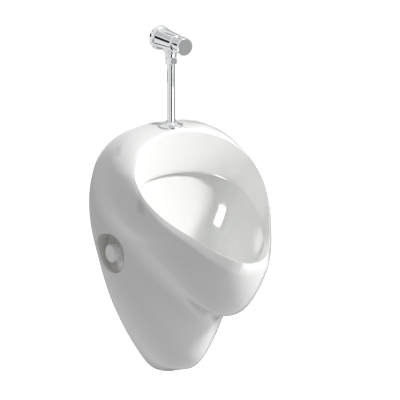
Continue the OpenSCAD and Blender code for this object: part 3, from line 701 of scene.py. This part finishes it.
    def __post_init__(self) -> None:
        """Works out what follows from the sizes."""
        self.hub = self.hub_share * self.height
        self.well_h = self.well_share * self.height
        self.pad_h = self.well_h - self.wall - self.pad_below
        self.angles = 180 * (np.arange(self.columns + 1) / self.columns) ** self.crowding
        self.place = self.meets(lambda q: self.along(self.rim_line, q)[:, [0, 2]], len(self.rim_line) - 1.0)
        skin = self.skin_x(np.array([self.fix_out]), np.array([FIX_H]))
        self.pocket_floor = float(skin[0]) - self.pocket_deep
        self.boss = self.pocket_floor - self.wall

    def along(self, line: Array, u: Array) -> Array:
        """Point of a rim-like line in millimetres."""
        return curve_at(line, u) * np.array([self.half_w, self.reach, self.height])

    def outline(self, u: Array, inset: float = 0.0, nudge: float = 0.02) -> Array:
        """Outline at the wall, moved inwards across its own direction.

        Args:
            u: places on the line, counted in points.
            inset: how far it is moved, in millimetres.
            nudge: how far before and after a place its direction is read.
        Returns:
            (sideways, height) of each place.
        """
        size = np.array([self.half_w, self.height])
        here = curve_at(self.wall_line, u) * size
        if inset == 0:
            return here
        step = (curve_at(self.wall_line, u + nudge) - curve_at(self.wall_line, u - nudge)) * size
        turned = np.stack([-step[..., 1], step[..., 0]], -1)
        return here + inset * turned / np.linalg.norm(turned, axis=-1, keepdims=True)

    def meets(self, line: Callable[[Array], Array], top: float) -> Array:
        """Places where a line of (sideways, height) crosses each column's ray from the hub.

        Args:
            line: the line's point at each place.
            top: its last place.
        Returns:
            One place for each ray.
        """
        def angle(q: Array) -> Array:
            """Angle of the line's point, 0 straight down and 180 straight up."""
            x, h = np.moveaxis(line(q), -1, 0)
            return np.degrees(np.arctan2(x, self.hub - h))

        return solve(angle, self.angles, top)

    def on_ray(self, r: Array, out: Array | float) -> Array:
        """(columns, 3) points: each column's ray at radius r from the hub, at a distance out of the wall."""
        a = np.radians(self.angles)
        return np.stack([r * np.sin(a), out + 0 * r, self.hub - r * np.cos(a)], -1)

    def edge_radius(self, inset: float) -> Array:
        """Distance from the hub to the outline on each ray.

        Args:
            inset: how far the outline is moved inwards.
        Returns:
            One distance for each column.
        """
        u = self.meets(lambda q: self.outline(q, inset), len(self.wall_line) - 1.0)
        edge = self.outline(u, inset)
        return np.hypot(edge[:, 0], self.hub - edge[:, 1])

    def half_width(self, h: Array, inset: float = 0.0, steps: int = 3000) -> Array:
        """Half the width at each height, read off so many steps of the outline moved inwards by inset."""
        line = self.outline(np.linspace(0, len(self.wall_line) - 1, steps), inset)
        return np.interp(h, line[:, 1], line[:, 0])

    def chin(self, h: Array, inset: float = 0.0, tilt: float = 75.0, probes: int = 13) -> Array:
        """How far the chin stands out on the middle line, measured inwards across its own surface.

        The inset surface is the lowest of the chin's copies that are moved by the inset at each tilt.

        Args:
            h: heights.
            inset: how far the surface is moved inwards.
            tilt: largest slope of a move, in degrees up and down.
            probes: how many moves are tried.
        Returns:
            One distance out of the wall for each height, 0 or more.
        """
        moved = []
        for a in np.radians(np.linspace(-tilt, tilt, probes)):
            share = np.clip((h + inset * math.sin(a)) / self.height, 0, 1)
            moved.append(smooth_at(self.chin_line, share) * self.reach - inset * math.cos(a))
        return np.maximum(0, np.min(moved, 0))

    def shield(self, x: Array, h: Array, inset: float = 0.0, narrowest: float = 0.01) -> Array:
        """Half an ellipse at each height: chin times the root of 1 - (x / half width)^2."""
        share = np.minimum(1, np.abs(x) / np.maximum(self.half_width(h, inset), narrowest))
        return self.chin(h, inset) * np.sqrt(1 - share * share)

    def outside(self, rim: Array) -> Array:
        """Belly, fold and shield on each ray.

        The belly's rows lie at the sine of t to a power along the ray and the cosine of t out of the
        wall, for t up to 90 degrees; the fold's are a quarter of an ellipse that turns back out of it,
        and the shield's lie at r1 - (r1 - r2) v^2 for v from 1 to 0, closest together at the wall.

        Args:
            rim: the rim's points.
        Returns:
            (columns, rings, 3) points from beside the rim to the wall.
        """
        r0, r1 = np.hypot(rim[:, 0], self.hub - rim[:, 2]), self.edge_radius(0.0)
        end = smooth_at(self.belly_end, self.angles) * self.reach
        span = smooth_at(self.belly_share, self.angles) * (r1 - r0)
        power = 2 / smooth_at(self.belly_full, self.angles)
        rows = []
        for t in np.radians(np.linspace(self.belly_first, 90, self.belly_rings)):
            rows.append(self.on_ray(r0 + span * math.sin(t) ** power, end + (rim[:, 1] - end) * math.cos(t)))
        turn = np.minimum(self.fold_share * (r1 - r0), self.fold_most * (r1 - r0 - span))
        r2 = r0 + span + turn
        low = self.on_ray(r2, 0.0)
        low_out = np.minimum(self.shield(low[:, 0], low[:, 2]), end - self.fold_drop)
        for t in np.radians(np.linspace(self.fold_first, self.fold_last, self.fold_rings)):
            out = low_out + (end - low_out) * (1 - math.sin(t))
            rows.append(self.on_ray(r0 + span + turn * (1 - math.cos(t)), out))
        for v in np.linspace(1, 0, self.shield_rings):
            r = r1 - (r1 - r2) * v * v
            p = self.on_ray(r, 0.0)
            out = np.minimum(self.shield(p[:, 0], p[:, 2]), low_out) if v else 0.0
            rows.append(self.on_ray(r, out))
        return self.softened(np.stack(rows, 1))

    def softened(self, grid: Array) -> Array:
        """Eases the fold: each point near it moves part of the way to the middle of its four neighbours.

        The share is ease_least, and more at the lower sides. It falls off as e to the minus fourth power
        of the distance from ease_ring, counted in ease_reach. The round is repeated.

        Args:
            grid: (columns, rings, 3) points.
        Returns:
            The eased points, with the first and last columns still on the middle line.
        """
        rise = np.clip((self.angles - self.ease_rise[0]) / self.ease_rise[1], 0, 1)
        fall = np.clip((self.ease_fall[0] - self.angles) / self.ease_fall[1], 0, 1)
        pull = self.ease_least + self.ease_more * rise * fall
        near = np.exp(-((np.arange(grid.shape[1]) - self.ease_ring) / self.ease_reach) ** 4)
        share = pull[:, None, None] * near[None, 1:-1, None]
        for _ in range(self.easing):
            wide = np.concatenate([grid[1:2] * MIRROR, grid, grid[-2:-1] * MIRROR])
            middle = (grid[:, :-2] + grid[:, 2:] + wide[:-2, 1:-1] + wide[2:, 1:-1]) / 4
            eased = grid[:, 1:-1] + share * (middle - grid[:, 1:-1])
            grid = np.concatenate([grid[:, :1], eased, grid[:, -1:]], 1)
        return grid

    def inside(self, rim: Array) -> Array:
        """From the rim down the hood's band, round its edge and down a superellipse to the waste.

        The superellipse has the cosine of t to a power across and its sine to the same power down.

        Args:
            rim: the rim's points.
        Returns:
            (columns, rings, 3) points, the first beside the rim.
        """
        hood, top = self.along(self.hood_line, self.place), self.along(self.bowl_line, self.place)
        aim = np.stack([top[:, 0], top[:, 1] - self.waste_out], -1)
        reach = np.linalg.norm(aim, axis=-1)
        foot_x = aim[:, 0] * self.well_r / reach
        foot_out = self.waste_out + aim[:, 1] * self.well_r / reach
        power = smooth_at(self.well_pinch, self.angles)
        rows = [rim + (hood - rim) * k for k in np.linspace(self.band_from, self.band_to, self.band_rings)]
        start = rim + (hood - rim) * self.bend_from
        under = hood + (top - hood) * self.bend_to + np.array([0, 0, self.bend_up])
        rows += bend(start, hood, under, self.edge_rings)
        for k in self.under_shares:
            rows.append(hood + (top - hood) * k + np.array([0, 0, self.under_arch * k * (1 - k)]))
        for t in np.radians(np.linspace(0, 90, self.well_rings)):
            c, s = max(math.cos(t), 0) ** power, math.sin(t) ** power
            x, out = foot_x + (top[:, 0] - foot_x) * c, foot_out + (top[:, 1] - foot_out) * c
            rows.append(np.stack([x, out, top[:, 2] - (top[:, 2] - self.well_h) * s], -1))
        return np.stack(rows, 1)

    def both(self, half: Array) -> Array:
        """The right half's columns followed by the left half's, in the model's frame."""
        return to_frame(np.vstack([half, half[-2:0:-1] * MIRROR]))

    def shell(self) -> bpy.types.Object:
        """The closed surface of the whole ceramic before its hollow and holes.

        Inside and outside are cut back by the rim's radius and a bend joins them. Rings that lie within
        the rounding are left out.

        Returns:
            The solid.
        """
        rim = self.along(self.rim_line, self.place)
        outer, inner = self.outside(rim), self.inside(rim)
        away = outer[:, 0] - rim
        a = rim + away * np.minimum(self.rim_most, self.rim_r / np.linalg.norm(away, axis=-1))[:, None]
        band = inner[:, self.rim_heads_for] - rim
        b = rim + band * (self.rim_r / np.linalg.norm(band, axis=-1))[:, None]
        outer = np.concatenate([a[:, None], outer[:, 1:]], 1)
        clear = np.linalg.norm(outer - rim[:, None], axis=-1) > self.rim_r * self.rim_clear
        edge = np.stack(bend(b, rim, a, self.rim_rings), 1)
        upwards = inner[:, self.rim_takes:][:, ::-1]
        half = np.concatenate([upwards, edge, outer[:, clear.all(0).argmax():]], 1)
        ends = to_frame(np.array([[0, self.waste_out, self.well_h], [0, 0, self.hub - self.pole_drop]]))
        points, faces = closed_rings(self.both(half), ends[0], ends[1])
        return new_piece("glazed_bowl", points, faces)

    def hollow(self) -> bpy.types.Object:
        """The space behind the bowl: shallow behind its back and deep inside the shield and chin.

        Returns:
            The solid that is taken out.
        """
        r1 = self.edge_radius(self.wall)
        ra = np.minimum(smooth_at(self.deep_from, self.angles) * self.height, r1 - self.deep_margin)
        rb = ra + self.deep_step
        rows = [self.on_ray(ra * k, self.back_gap) for k in self.back_shares]
        for v in np.linspace(1, self.hollow_last, self.hollow_rings):
            r = r1 - (r1 - rb) * v * v
            p = self.on_ray(r, 0.0)
            deep = self.shield(p[:, 0], p[:, 2], self.wall)
            rows.append(self.on_ray(r, np.maximum(self.back_gap * v, deep)))
        rows += [self.on_ray(r1, 0.0), self.on_ray(r1, -self.over)]
        poles = [[0, self.back_gap, self.hub], [0, -self.over, self.hub - self.pole_drop]]
        ends = to_frame(np.array(poles))
        points, faces = closed_rings(self.both(np.stack(rows, 1)), ends[0], ends[1])
        return new_piece("hollow", points, faces)

    def rod(self, r: float, foot: float, top: float, out: float) -> bpy.types.Object:
        """An upright cylinder of radius r from foot to top, its axis at a distance out of the wall."""
        points, faces = lathe([[0, foot], [r, foot], [r, top], [0, top]])
        return new_piece("rod", to_frame(points * np.array([1, -1, 1]) + np.array([0, out, 0])), faces)

    def side_rows(self, side: Side, r: Array, x: Array, straight: float, step: float = 3.0) -> Array:
        """Rings of a slot round the side screw's axis.

        A ring is a circle, (r cos a, r sin a), whose upper half is moved up by half of straight, and its
        lower half down by as much.

        Args:
            side: which side of the bowl.
            r: radius of each ring.
            x: distance of each ring from the middle, or of each of its points.
            straight: length of the slot's straight part.
            step: degrees from point to point.
        Returns:
            (points, rings, 3) points.
        """
        a = np.radians(np.arange(0, 360, step))
        shift = np.where(np.sin(a) >= 0, 0.5, -0.5) * straight
        out = self.fix_out + r[None, :] * np.cos(a)[:, None]
        up = FIX_H + r[None, :] * np.sin(a)[:, None] + shift[:, None]
        return np.stack([side.value * np.broadcast_to(x, out.shape), out, up], -1)

    def side_solid(self, name: str, rings: Array) -> bpy.types.Object:
        """Closes rings round the side screw's axis into a solid, turned right side out.

        The sign of its volume, the sum of a . (b x c) over its triangles, says which way its faces look.

        Args:
            name: name of the solid.
            rings: (points, rings, 3) points.
        Returns:
            The solid.
        """
        grid = to_frame(rings)
        points, faces = closed_rings(grid, grid[:, 0].mean(0), grid[:, -1].mean(0))
        piece = new_piece(name, points, faces)
        mesh = piece.data
        mesh.calc_loop_triangles()
        at = np.array([v.co for v in mesh.vertices])
        tri = np.array([t.vertices[:] for t in mesh.loop_triangles])
        volume = np.einsum("ij,ij->i", at[tri[:, 0]], np.cross(at[tri[:, 1]], at[tri[:, 2]])).sum()
        if volume < 0:
            mesh.flip_normals()
        return piece

    def side_rod(self, name: str, side: Side, r: float, ends: Sequence[float],
                 straight: float) -> bpy.types.Object:
        """A slot-shaped rod of radius r on the side screw's axis, between two distances from the middle."""
        return self.side_solid(name, self.side_rows(side, np.full(2, r), np.array(ends), straight))

    def skin_x(self, out: Array, h: Array, least: float = 0.02) -> Array:
        """Sideways place of the shield: half width times the root of 1 - (out / chin)^2, not under least."""
        return self.half_width(h) * np.sqrt(np.maximum(least, 1 - (np.maximum(out, 0) / self.chin(h)) ** 2))

    def pocket(self, side: Side, above: float = 30.0, shallow: float = 0.15) -> bpy.types.Object:
        """The side pocket: a straight-walled slot whose mouth rolls over to the surface in a quarter round.

        A ring that lies d under the surface follows it, and is wider by r - sqrt(r^2 - (r - d)^2).

        Args:
            side: which side of the bowl.
            above: how far outside the surface the first ring lies.
            shallow: depth of the ring at the lip.
        Returns:
            The solid that is taken out.
        """
        lip = self.lip_r * (1 - np.cos(np.radians(np.linspace(self.lip_first, 90, self.lip_rings))))
        deep = np.concatenate([[-above, shallow], lip])
        under = self.lip_r - np.clip(deep, shallow, None)
        r = self.pocket_r + self.lip_r - np.sqrt(np.maximum(0, self.lip_r ** 2 - under ** 2))
        flat = self.side_rows(side, r, np.zeros(len(deep)), self.pocket_straight)
        x = self.skin_x(flat[..., 1], flat[..., 2]) - deep[None, :]
        mouth = self.side_rows(side, r, x, self.pocket_straight)
        turn = np.radians(np.linspace(0, 90, self.pocket_floor_rings))
        base_r = self.pocket_r - self.pocket_floor_r * (1 - np.cos(turn))
        base_x = self.pocket_floor + self.pocket_floor_r - self.pocket_floor_r * np.sin(turn)
        base = self.side_rows(side, base_r, base_x, self.pocket_straight)
        return self.side_solid("pocket", np.concatenate([mouth, base], 1))

    def filled_hollow(self) -> bpy.types.Object:
        """The hollow less the blocks of ceramic round the pockets, the waste and the tube.

        Returns:
            The solid that is taken out.
        """
        hollow = self.hollow()
        for side in Side:
            ends = (self.boss, self.boss + self.pocket_block)
            block = self.side_rod("boss", side, self.pocket_r + self.pocket_wall, ends, self.pocket_straight)
            combine(hollow, block, Cut.TAKE)
        waste_top = self.pad_h + self.waste_block
        combine(hollow, self.rod(self.well_r + self.wall, self.pad_h, waste_top, self.waste_out), Cut.TAKE)
        tube_foot, tube_top = self.height - self.grommet_in - self.wall, self.height + self.tube_block
        combine(hollow, self.rod(self.grommet_r + self.wall, tube_foot, tube_top, self.tube_out), Cut.TAKE)
        return hollow

    def cut_bracket_room(self, bowl: bpy.types.Object, side: Side) -> None:
        """Cuts the space for a wall bracket behind its boss, open to the wall.

        Args:
            bowl: the ceramic.
            side: which side of it.
        """
        for r, half_tall, inwards in self.bracket_rooms:
            ends = np.array([self.boss - self.bracket_gap - inwards, self.boss])
            rows = self.side_rows(side, np.full(2, r), ends, 2 * (half_tall - r) + self.bracket_slack)
            rows[..., 1] = np.where(rows[..., 1] < self.fix_out, -self.over, rows[..., 1])
            combine(bowl, self.side_solid("room", rows), Cut.TAKE)

    def build(self) -> bpy.types.Object:
        """Hollows the shell and cuts the pockets and holes.

        Returns:
            The finished ceramic.
        """
        hollow = self.filled_hollow()
        bowl = self.shell()
        combine(bowl, hollow, Cut.TAKE)
        for side in Side:
            self.cut_bracket_room(bowl, side)
        tube_boss = self.rod(self.tube_boss_r, self.height - self.wall, self.height, self.tube_out)
        combine(bowl, tube_boss, Cut.ADD)
        for side in Side:
            combine(bowl, self.pocket(side), Cut.TAKE)
            ends = (self.boss - self.over, self.boss + self.wall + self.over)
            combine(bowl, self.side_rod("hole", side, self.screw_hole_r, ends, 0.0), Cut.TAKE)
        waste = self.rod(self.waste_r, self.pad_h - self.over, self.well_h + self.over, self.waste_out)
        combine(bowl, waste, Cut.TAKE)
        tube_foot, tube_top = self.height - self.grommet_in, self.height + self.over
        combine(bowl, self.rod(self.grommet_r, tube_foot, tube_top, self.tube_out), Cut.TAKE)
        bowl.data.shade_smooth()
        bowl.data.set_sharp_from_angle(angle=math.radians(self.smooth_below))
        # Paints shade into the side pockets, darker with depth under the surface
        self.paint_pocket_shade(bowl.data)
        return bowl

    def paint_pocket_shade(self, mesh: bpy.types.Mesh, shade_deep: float = 10.0, beside: float = 0.4,
                     below: float = 0.5) -> None:
        """Stores how deep each point lies in a side pocket, 0 at the surface and 1 from shade_deep down, as
        the mask of the glaze's painted shade.

        Args:
            mesh: the ceramic's mesh.
            shade_deep: depth where the painted shade in a pocket is darkest.
            beside: how far outside its walls a point still counts.
            below: how far past its floor a point still counts.
        """
        flat = np.empty(3 * len(mesh.vertices))
        mesh.vertices.foreach_get("co", flat)
        x, out, up = (flat.reshape(-1, 3) / METRE * np.array([1, -1, 1])).T
        past = np.maximum(np.abs(up) - self.pocket_straight / 2, 0)
        across = np.hypot(out - self.fix_out, past) < self.pocket_r + beside
        within = across & (np.abs(x) > self.pocket_floor - below)
        # Depth under the surface sets the painted shade: deeper is darker
        deep = self.skin_x(out, up + FIX_H) - np.abs(x)
        shade = np.where(within, np.clip(deep / shade_deep, 0, 1), 0.0)
        mesh.attributes.new("pocket", "FLOAT", "POINT").data.foreach_set("value", shade)

    def dress(self, bowl: bpy.types.Object) -> None:
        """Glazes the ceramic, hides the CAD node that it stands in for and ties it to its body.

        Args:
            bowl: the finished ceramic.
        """
        bowl.data.materials.clear()
        bowl.data.materials.append(Glaze().material())
        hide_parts("ceramic_body")
        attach(bowl, "urinal")
        log.info("%s: %d faces", bowl.name, len(bowl.data.polygons))


# The fittings
Nodes = tuple[tuple[Finish, tuple[str, ...]], ...]


@dataclass(frozen=True)
class Fitted:
    """A sub-assembly whose nodes keep their CAD shape, listed by the finish that they wear."""

    nodes: Nodes = ()

    def dress(self, materials: dict[Finish, bpy.types.Material]) -> None:
        """Gives each node its material.

        Args:
            materials: the material of each finish.
        """
        for finish, names in self.nodes:
            for name in names:
                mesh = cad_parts[name].data
                mesh.materials.clear()
                mesh.materials.append(materials[finish])
                log.info("%s wears %s", name, materials[finish].name)


@dataclass(frozen=True)
class SideFixing(Fitted):
    """Wall brackets, and the screws that hold the bowl to them through its side pockets."""

    nodes: Nodes = (
        (Finish.STEEL, (
            "wall_bracket_left", "wall_bracket_right", "wall_screws", "wall_washers", "side_washer_left",
            "side_washer_right", "side_screw_left", "side_screw_right")),
        (Finish.RUBBER, ("side_bush_left", "side_bush_right")),
        (Finish.CAP_PLASTIC, ("side_cap_left", "side_cap_right")),
        (Finish.PLUG_NYLON, ("wall_plugs",)))


@dataclass(frozen=True)
class WasteAndTrap(Fitted):
    """The strainer and its tail, and the bottle trap that takes the waste to the wall."""

    nodes: Nodes = (
        (Finish.CHROME, ("waste_strainer", "strainer_screw", "waste_tail")),
        (Finish.RUBBER, (
            "waste_gasket", "backnut_washer", "trap_top_seal", "cup_seal", "outlet_seal", "wall_collar")),
        (Finish.TRAP_PLASTIC, (
            "waste_backnut", "trap_top_nut", "trap_top", "dip_tube", "trap_cup", "outlet_nut",
            "outlet_pipe")))


@dataclass(frozen=True)
class FlushTube(Fitted):
    """The tube from the valve into the bowl, with its sliding rosette, cone and grommet."""

    nodes: Nodes = (
        (Finish.CHROME, ("tube_rosette", "flush_tube", "tube_nut")),
        (Finish.RUBBER, ("inlet_grommet", "tube_cone")))


@dataclass(frozen=True)
class PushValve(Fitted):
    """The push-button valve, its wall disc and its inner works."""

    nodes: Nodes = (
        (Finish.CHROME, ("valve_body", "wall_disc", "bonnet", "push_button")),
        (Finish.STEEL, ("push_stem", "return_spring", "inlet_filter")),
        (Finish.RUBBER, ("poppet_seal", "stem_ring", "bonnet_ring")),
        (Finish.BRASS, ("seat_ring", "poppet")))


# Lights and camera
@dataclass(frozen=True)
class Card:
    """A grey studio card that only near reflections see.

    It hangs at a distance and direction from the centre that it faces. Wide and tall are half its size,
    and it bows towards the centre by bow times wide times (u^2 + v^2) for u and v from -1 to 1.
    """

    centre: Triple
    azimuth: float
    elevation: float
    away: float
    wide: float
    tall: float
    level: float
    bow: float = 0.1
    side_points: int = 9
    mottle: float = 0.9
    mottle_waves: float = 9.0
    seen_past: float = 0.06

    def paint(self, name: str) -> bpy.types.Material:
        """Mottled grey that glows, seen only by rays shorter than the card's distance and a little.

        Args:
            name: name of the material.
        Returns:
            The material.
        """
        g = Graph(name)
        g.set(Base_Color=(0, 0, 0, 1), Roughness=1.0, Specular_IOR_Level=0.0, Emission_Strength=1.0)
        grey = g.tint(g.noise(self.mottle_waves), (self.mottle * self.level,) * 3, (self.level,) * 3)
        g.feed(grey, "Emission Color")
        near = g.add("ShaderNodeMath", operation="LESS_THAN")
        g.join(g.add("ShaderNodeLightPath").outputs["Ray Length"], near.inputs[0])
        near.inputs[1].default_value = self.away + self.seen_past
        g.feed(near.outputs[0], "Alpha")
        return g.material

    def build(self, name: str) -> None:
        """Hangs the card.

        Args:
            name: name of the object.
        """
        a, e = math.radians(self.azimuth), math.radians(self.elevation)
        back = np.array([math.sin(a) * math.cos(e), math.cos(a) * math.cos(e), math.sin(e)])
        right = np.array([math.cos(a), -math.sin(a), 0.0])
        up = np.cross(right, back)
        across = np.linspace(-1, 1, self.side_points)
        u, v = np.meshgrid(across, across, indexing="ij")
        far = self.away - self.bow * self.wide * (u * u + v * v)
        points = np.array(self.centre) + far[..., None] * back
        points = points + (u * self.wide)[..., None] * right + (v * self.tall)[..., None] * up
        piece = new_piece(name, points, sheet_faces(self.side_points))
        piece.data.materials.append(self.paint(name))
        piece.visible_camera = piece.visible_diffuse = False
        piece.visible_shadow = piece.visible_transmission = False


@dataclass(frozen=True)
class Softbox:
    """A rectangular lamp: its place, the place it faces, its width and height, and its power in watts.

    Where lights is False, it is only seen in reflections.
    """

    name: str
    at: Triple
    to: Triple
    size: tuple[float, float]
    power: float
    lights: bool = True

    def build(self) -> None:
        """Hangs the lamp."""
        data = bpy.data.lights.new(self.name, "AREA")
        data.shape = "RECTANGLE"
        data.size, data.size_y = self.size
        data.energy = self.power
        lamp = bpy.data.objects.new(self.name, data)
        lamp.location = self.at
        lamp.rotation_euler = (Vector(self.at) - Vector(self.to)).to_track_quat("Z", "Y").to_euler()
        lamp.visible_diffuse = self.lights
        bpy.context.scene.collection.objects.link(lamp)


@dataclass
class Studio:
    """White backdrop, soft lights and the camera at the photograph's angle.

    The camera is aimed so that the place aim, in the bowl's millimetres, falls on the pixel aim_pixel.
    """

    azimuth: float = -31.97
    elevation: float = 16.41
    lens: float = 310.6
    sensor: float = 36.0
    image: int = 400
    pixels_a_mm: float = 0.531
    aim: Triple = (0.0, 165.0, 250.0)
    aim_pixel: tuple[float, float] = (206.1, 268.6)
    # Fill on matt surfaces, and the level far behind the part in reflections, reached between two cosines
    daylight: Triple = (0.975, 0.99, 1.0)
    fill: float = 0.42
    behind: float = 0.3
    dim_from: float = 0.72
    dim_to: float = 0.97
    # The floor, in metres
    floor_half: float = 6.0
    floor_down: float = 0.75
    floor_dome: float = 0.004
    floor_points: int = 24
    cards: tuple[Card, ...] = (
        Card((0, -0.06, 0.4), -38, 7, 0.35, 0.065, 0.045, 0.02),
        Card((0, -0.06, 0.4), -24, 29, 0.35, 0.07, 0.05, 0.7),
        Card((0, -0.06, 0.4), 10, 37, 0.35, 0.04, 0.006, 0.1),
        Card((0, -0.04, 0.3), -165, -17, 0.42, 0.11, 0.12, 0.02),
        Card((0, -0.04, 0.3), -107, -15, 0.3, 0.02, 0.15, 0.3),
        Card((0, -0.04, 0.3), 60, -12, 0.3, 0.012, 0.12, 0.25),
        Card((0, -0.06, 0.4), -29, -27, 0.3, 0.05, 0.012, 0.05),
        Card((0, -0.12, 0.4), 150, -13, 0.34, 0.07, 0.115, 0.52),
        Card((0, -0.04, 0.25), 38, 24, 0.22, 0.045, 0.035, 0.03),
        Card((0, -0.04, 0.3), 90, -14, 0.3, 0.09, 0.14, 0.15))
    lamps: tuple[Softbox, ...] = (
        Softbox("key", (0.95, -1.95, 1.7), (0, -0.12, 0.0), (0.45, 0.45), 70.0),
        Softbox("top", (0.3, -0.3, 2.2), (0, -0.1, 0.1), (1.2, 1.2), 3.0),
        Softbox("front", (0.95, -2.3, -0.6), (0, -0.12, -0.1), (1.0, 0.8), 14.0),
        Softbox("window", (0.017, -0.076, 0.04), (0.096, -0.068, 0.047), (0.026, 0.034), 0.09, False))

    def back(self) -> Vector:
        """Direction from the part to the camera."""
        a, e = math.radians(self.azimuth), math.radians(self.elevation)
        return Vector((math.sin(a) * math.cos(e), -math.cos(a) * math.cos(e), math.sin(e)))

    def camera(self) -> None:
        """Puts the camera at lens times image over sensor and pixels a mm, aimed to suit the pixel."""
        a = math.radians(self.azimuth)
        back = self.back()
        right = Vector((math.cos(a), math.sin(a), 0))
        up = back.cross(right)
        distance = self.lens * self.image / (self.sensor * self.pixels_a_mm) * METRE
        target = Vector(to_frame(np.array(self.aim)).tolist())
        target -= right * (self.aim_pixel[0] - self.image / 2) / self.pixels_a_mm * METRE
        target += up * (self.aim_pixel[1] - self.image / 2) / self.pixels_a_mm * METRE
        data = bpy.data.cameras.new("camera")
        data.lens = self.lens
        data.sensor_width = self.sensor
        data.clip_end = 50.0
        eye = bpy.data.objects.new("camera", data)
        turn = Matrix((right, up, back)).transposed().to_4x4()
        eye.matrix_world = Matrix.Translation(target + back * distance) @ turn
        bpy.context.scene.collection.objects.link(eye)
        bpy.context.scene.camera = eye

    def world(self) -> None:
        """White to the camera, a softer fill on matt surfaces, and for reflections a white room.

        The room is grey far behind the part, where the cosine to the camera's own direction is high.
        """
        world = bpy.data.worlds.new("studio")
        bpy.context.scene.world = world
        world.use_nodes = True
        tree = world.node_tree
        link, new = tree.links.new, tree.nodes.new
        fill = tree.nodes["Background"]
        fill.inputs[0].default_value = (*self.daylight, 1)
        fill.inputs[1].default_value = self.fill
        room, white = new("ShaderNodeBackground"), new("ShaderNodeBackground")
        ahead, dim = new("ShaderNodeVectorMath"), new("ShaderNodeMapRange")
        ahead.operation = "DOT_PRODUCT"
        link(new("ShaderNodeTexCoord").outputs["Generated"], ahead.inputs[0])
        ahead.inputs[1].default_value = -self.back()
        dim.inputs["From Min"].default_value = self.dim_from
        dim.inputs["From Max"].default_value = self.dim_to
        dim.inputs["To Min"].default_value = 1.0
        dim.inputs["To Max"].default_value = self.behind
        dim.interpolation_type = "SMOOTHSTEP"
        link(ahead.outputs["Value"], dim.inputs["Value"])
        link(dim.outputs[0], room.inputs[0])
        white.inputs[0].default_value = (1, 1, 1, 1)
        path = new("ShaderNodeLightPath")
        shiny, seen = new("ShaderNodeMixShader"), new("ShaderNodeMixShader")
        link(path.outputs["Is Glossy Ray"], shiny.inputs[0])
        link(fill.outputs[0], shiny.inputs[1])
        link(room.outputs[0], shiny.inputs[2])
        link(path.outputs["Is Camera Ray"], seen.inputs[0])
        link(shiny.outputs[0], seen.inputs[1])
        link(white.outputs[0], seen.inputs[2])
        link(seen.outputs[0], tree.nodes["World Output"].inputs[0])

    def floor(self) -> None:
        """A wide white floor well below the part, slightly domed: it falls by floor_dome (x^2 + y^2)."""
        along = np.linspace(-self.floor_half, self.floor_half, self.floor_points)
        x, y = np.meshgrid(along, along, indexing="ij")
        points = np.stack([x, y, -self.floor_down - self.floor_dome * (x * x + y * y)], -1)
        piece = new_piece("floor", points, sheet_faces(self.floor_points))
        g = Graph("floor_paint")
        g.feed(g.tint(g.noise(2.0, 2.0), (0.93, 0.93, 0.93), (0.95, 0.95, 0.95)), "Base Color")
        g.set(Roughness=0.9, Emission_Color=(1, 1, 1, 1), Emission_Strength=0.8)
        piece.data.materials.append(g.material)
        piece.visible_glossy = piece.visible_diffuse = False

    def build(self) -> None:
        """Sets everything up."""
        bpy.context.scene.view_settings.view_transform = "Standard"
        self.camera()
        self.world()
        self.floor()
        for number, card in enumerate(self.cards):
            card.build(f"card_{number}")
        for lamp in self.lamps:
            lamp.build()
        log.info("studio: %d cards, %d lamps", len(self.cards), len(self.lamps))


def main() -> None:
    """Builds the camera and lights, then dresses each sub-assembly of the urinal."""
    logging.basicConfig(level=logging.INFO, format="%(name)s %(message)s")
    Studio().build()
    ceramic = CeramicBowl()
    ceramic.dress(ceramic.build())
    materials = {finish: finish.value.material() for finish in Finish}
    for assembly in (SideFixing(), WasteAndTrap(), FlushTube(), PushValve()):
        assembly.dress(materials)


if __name__ == "__main__":
    main()
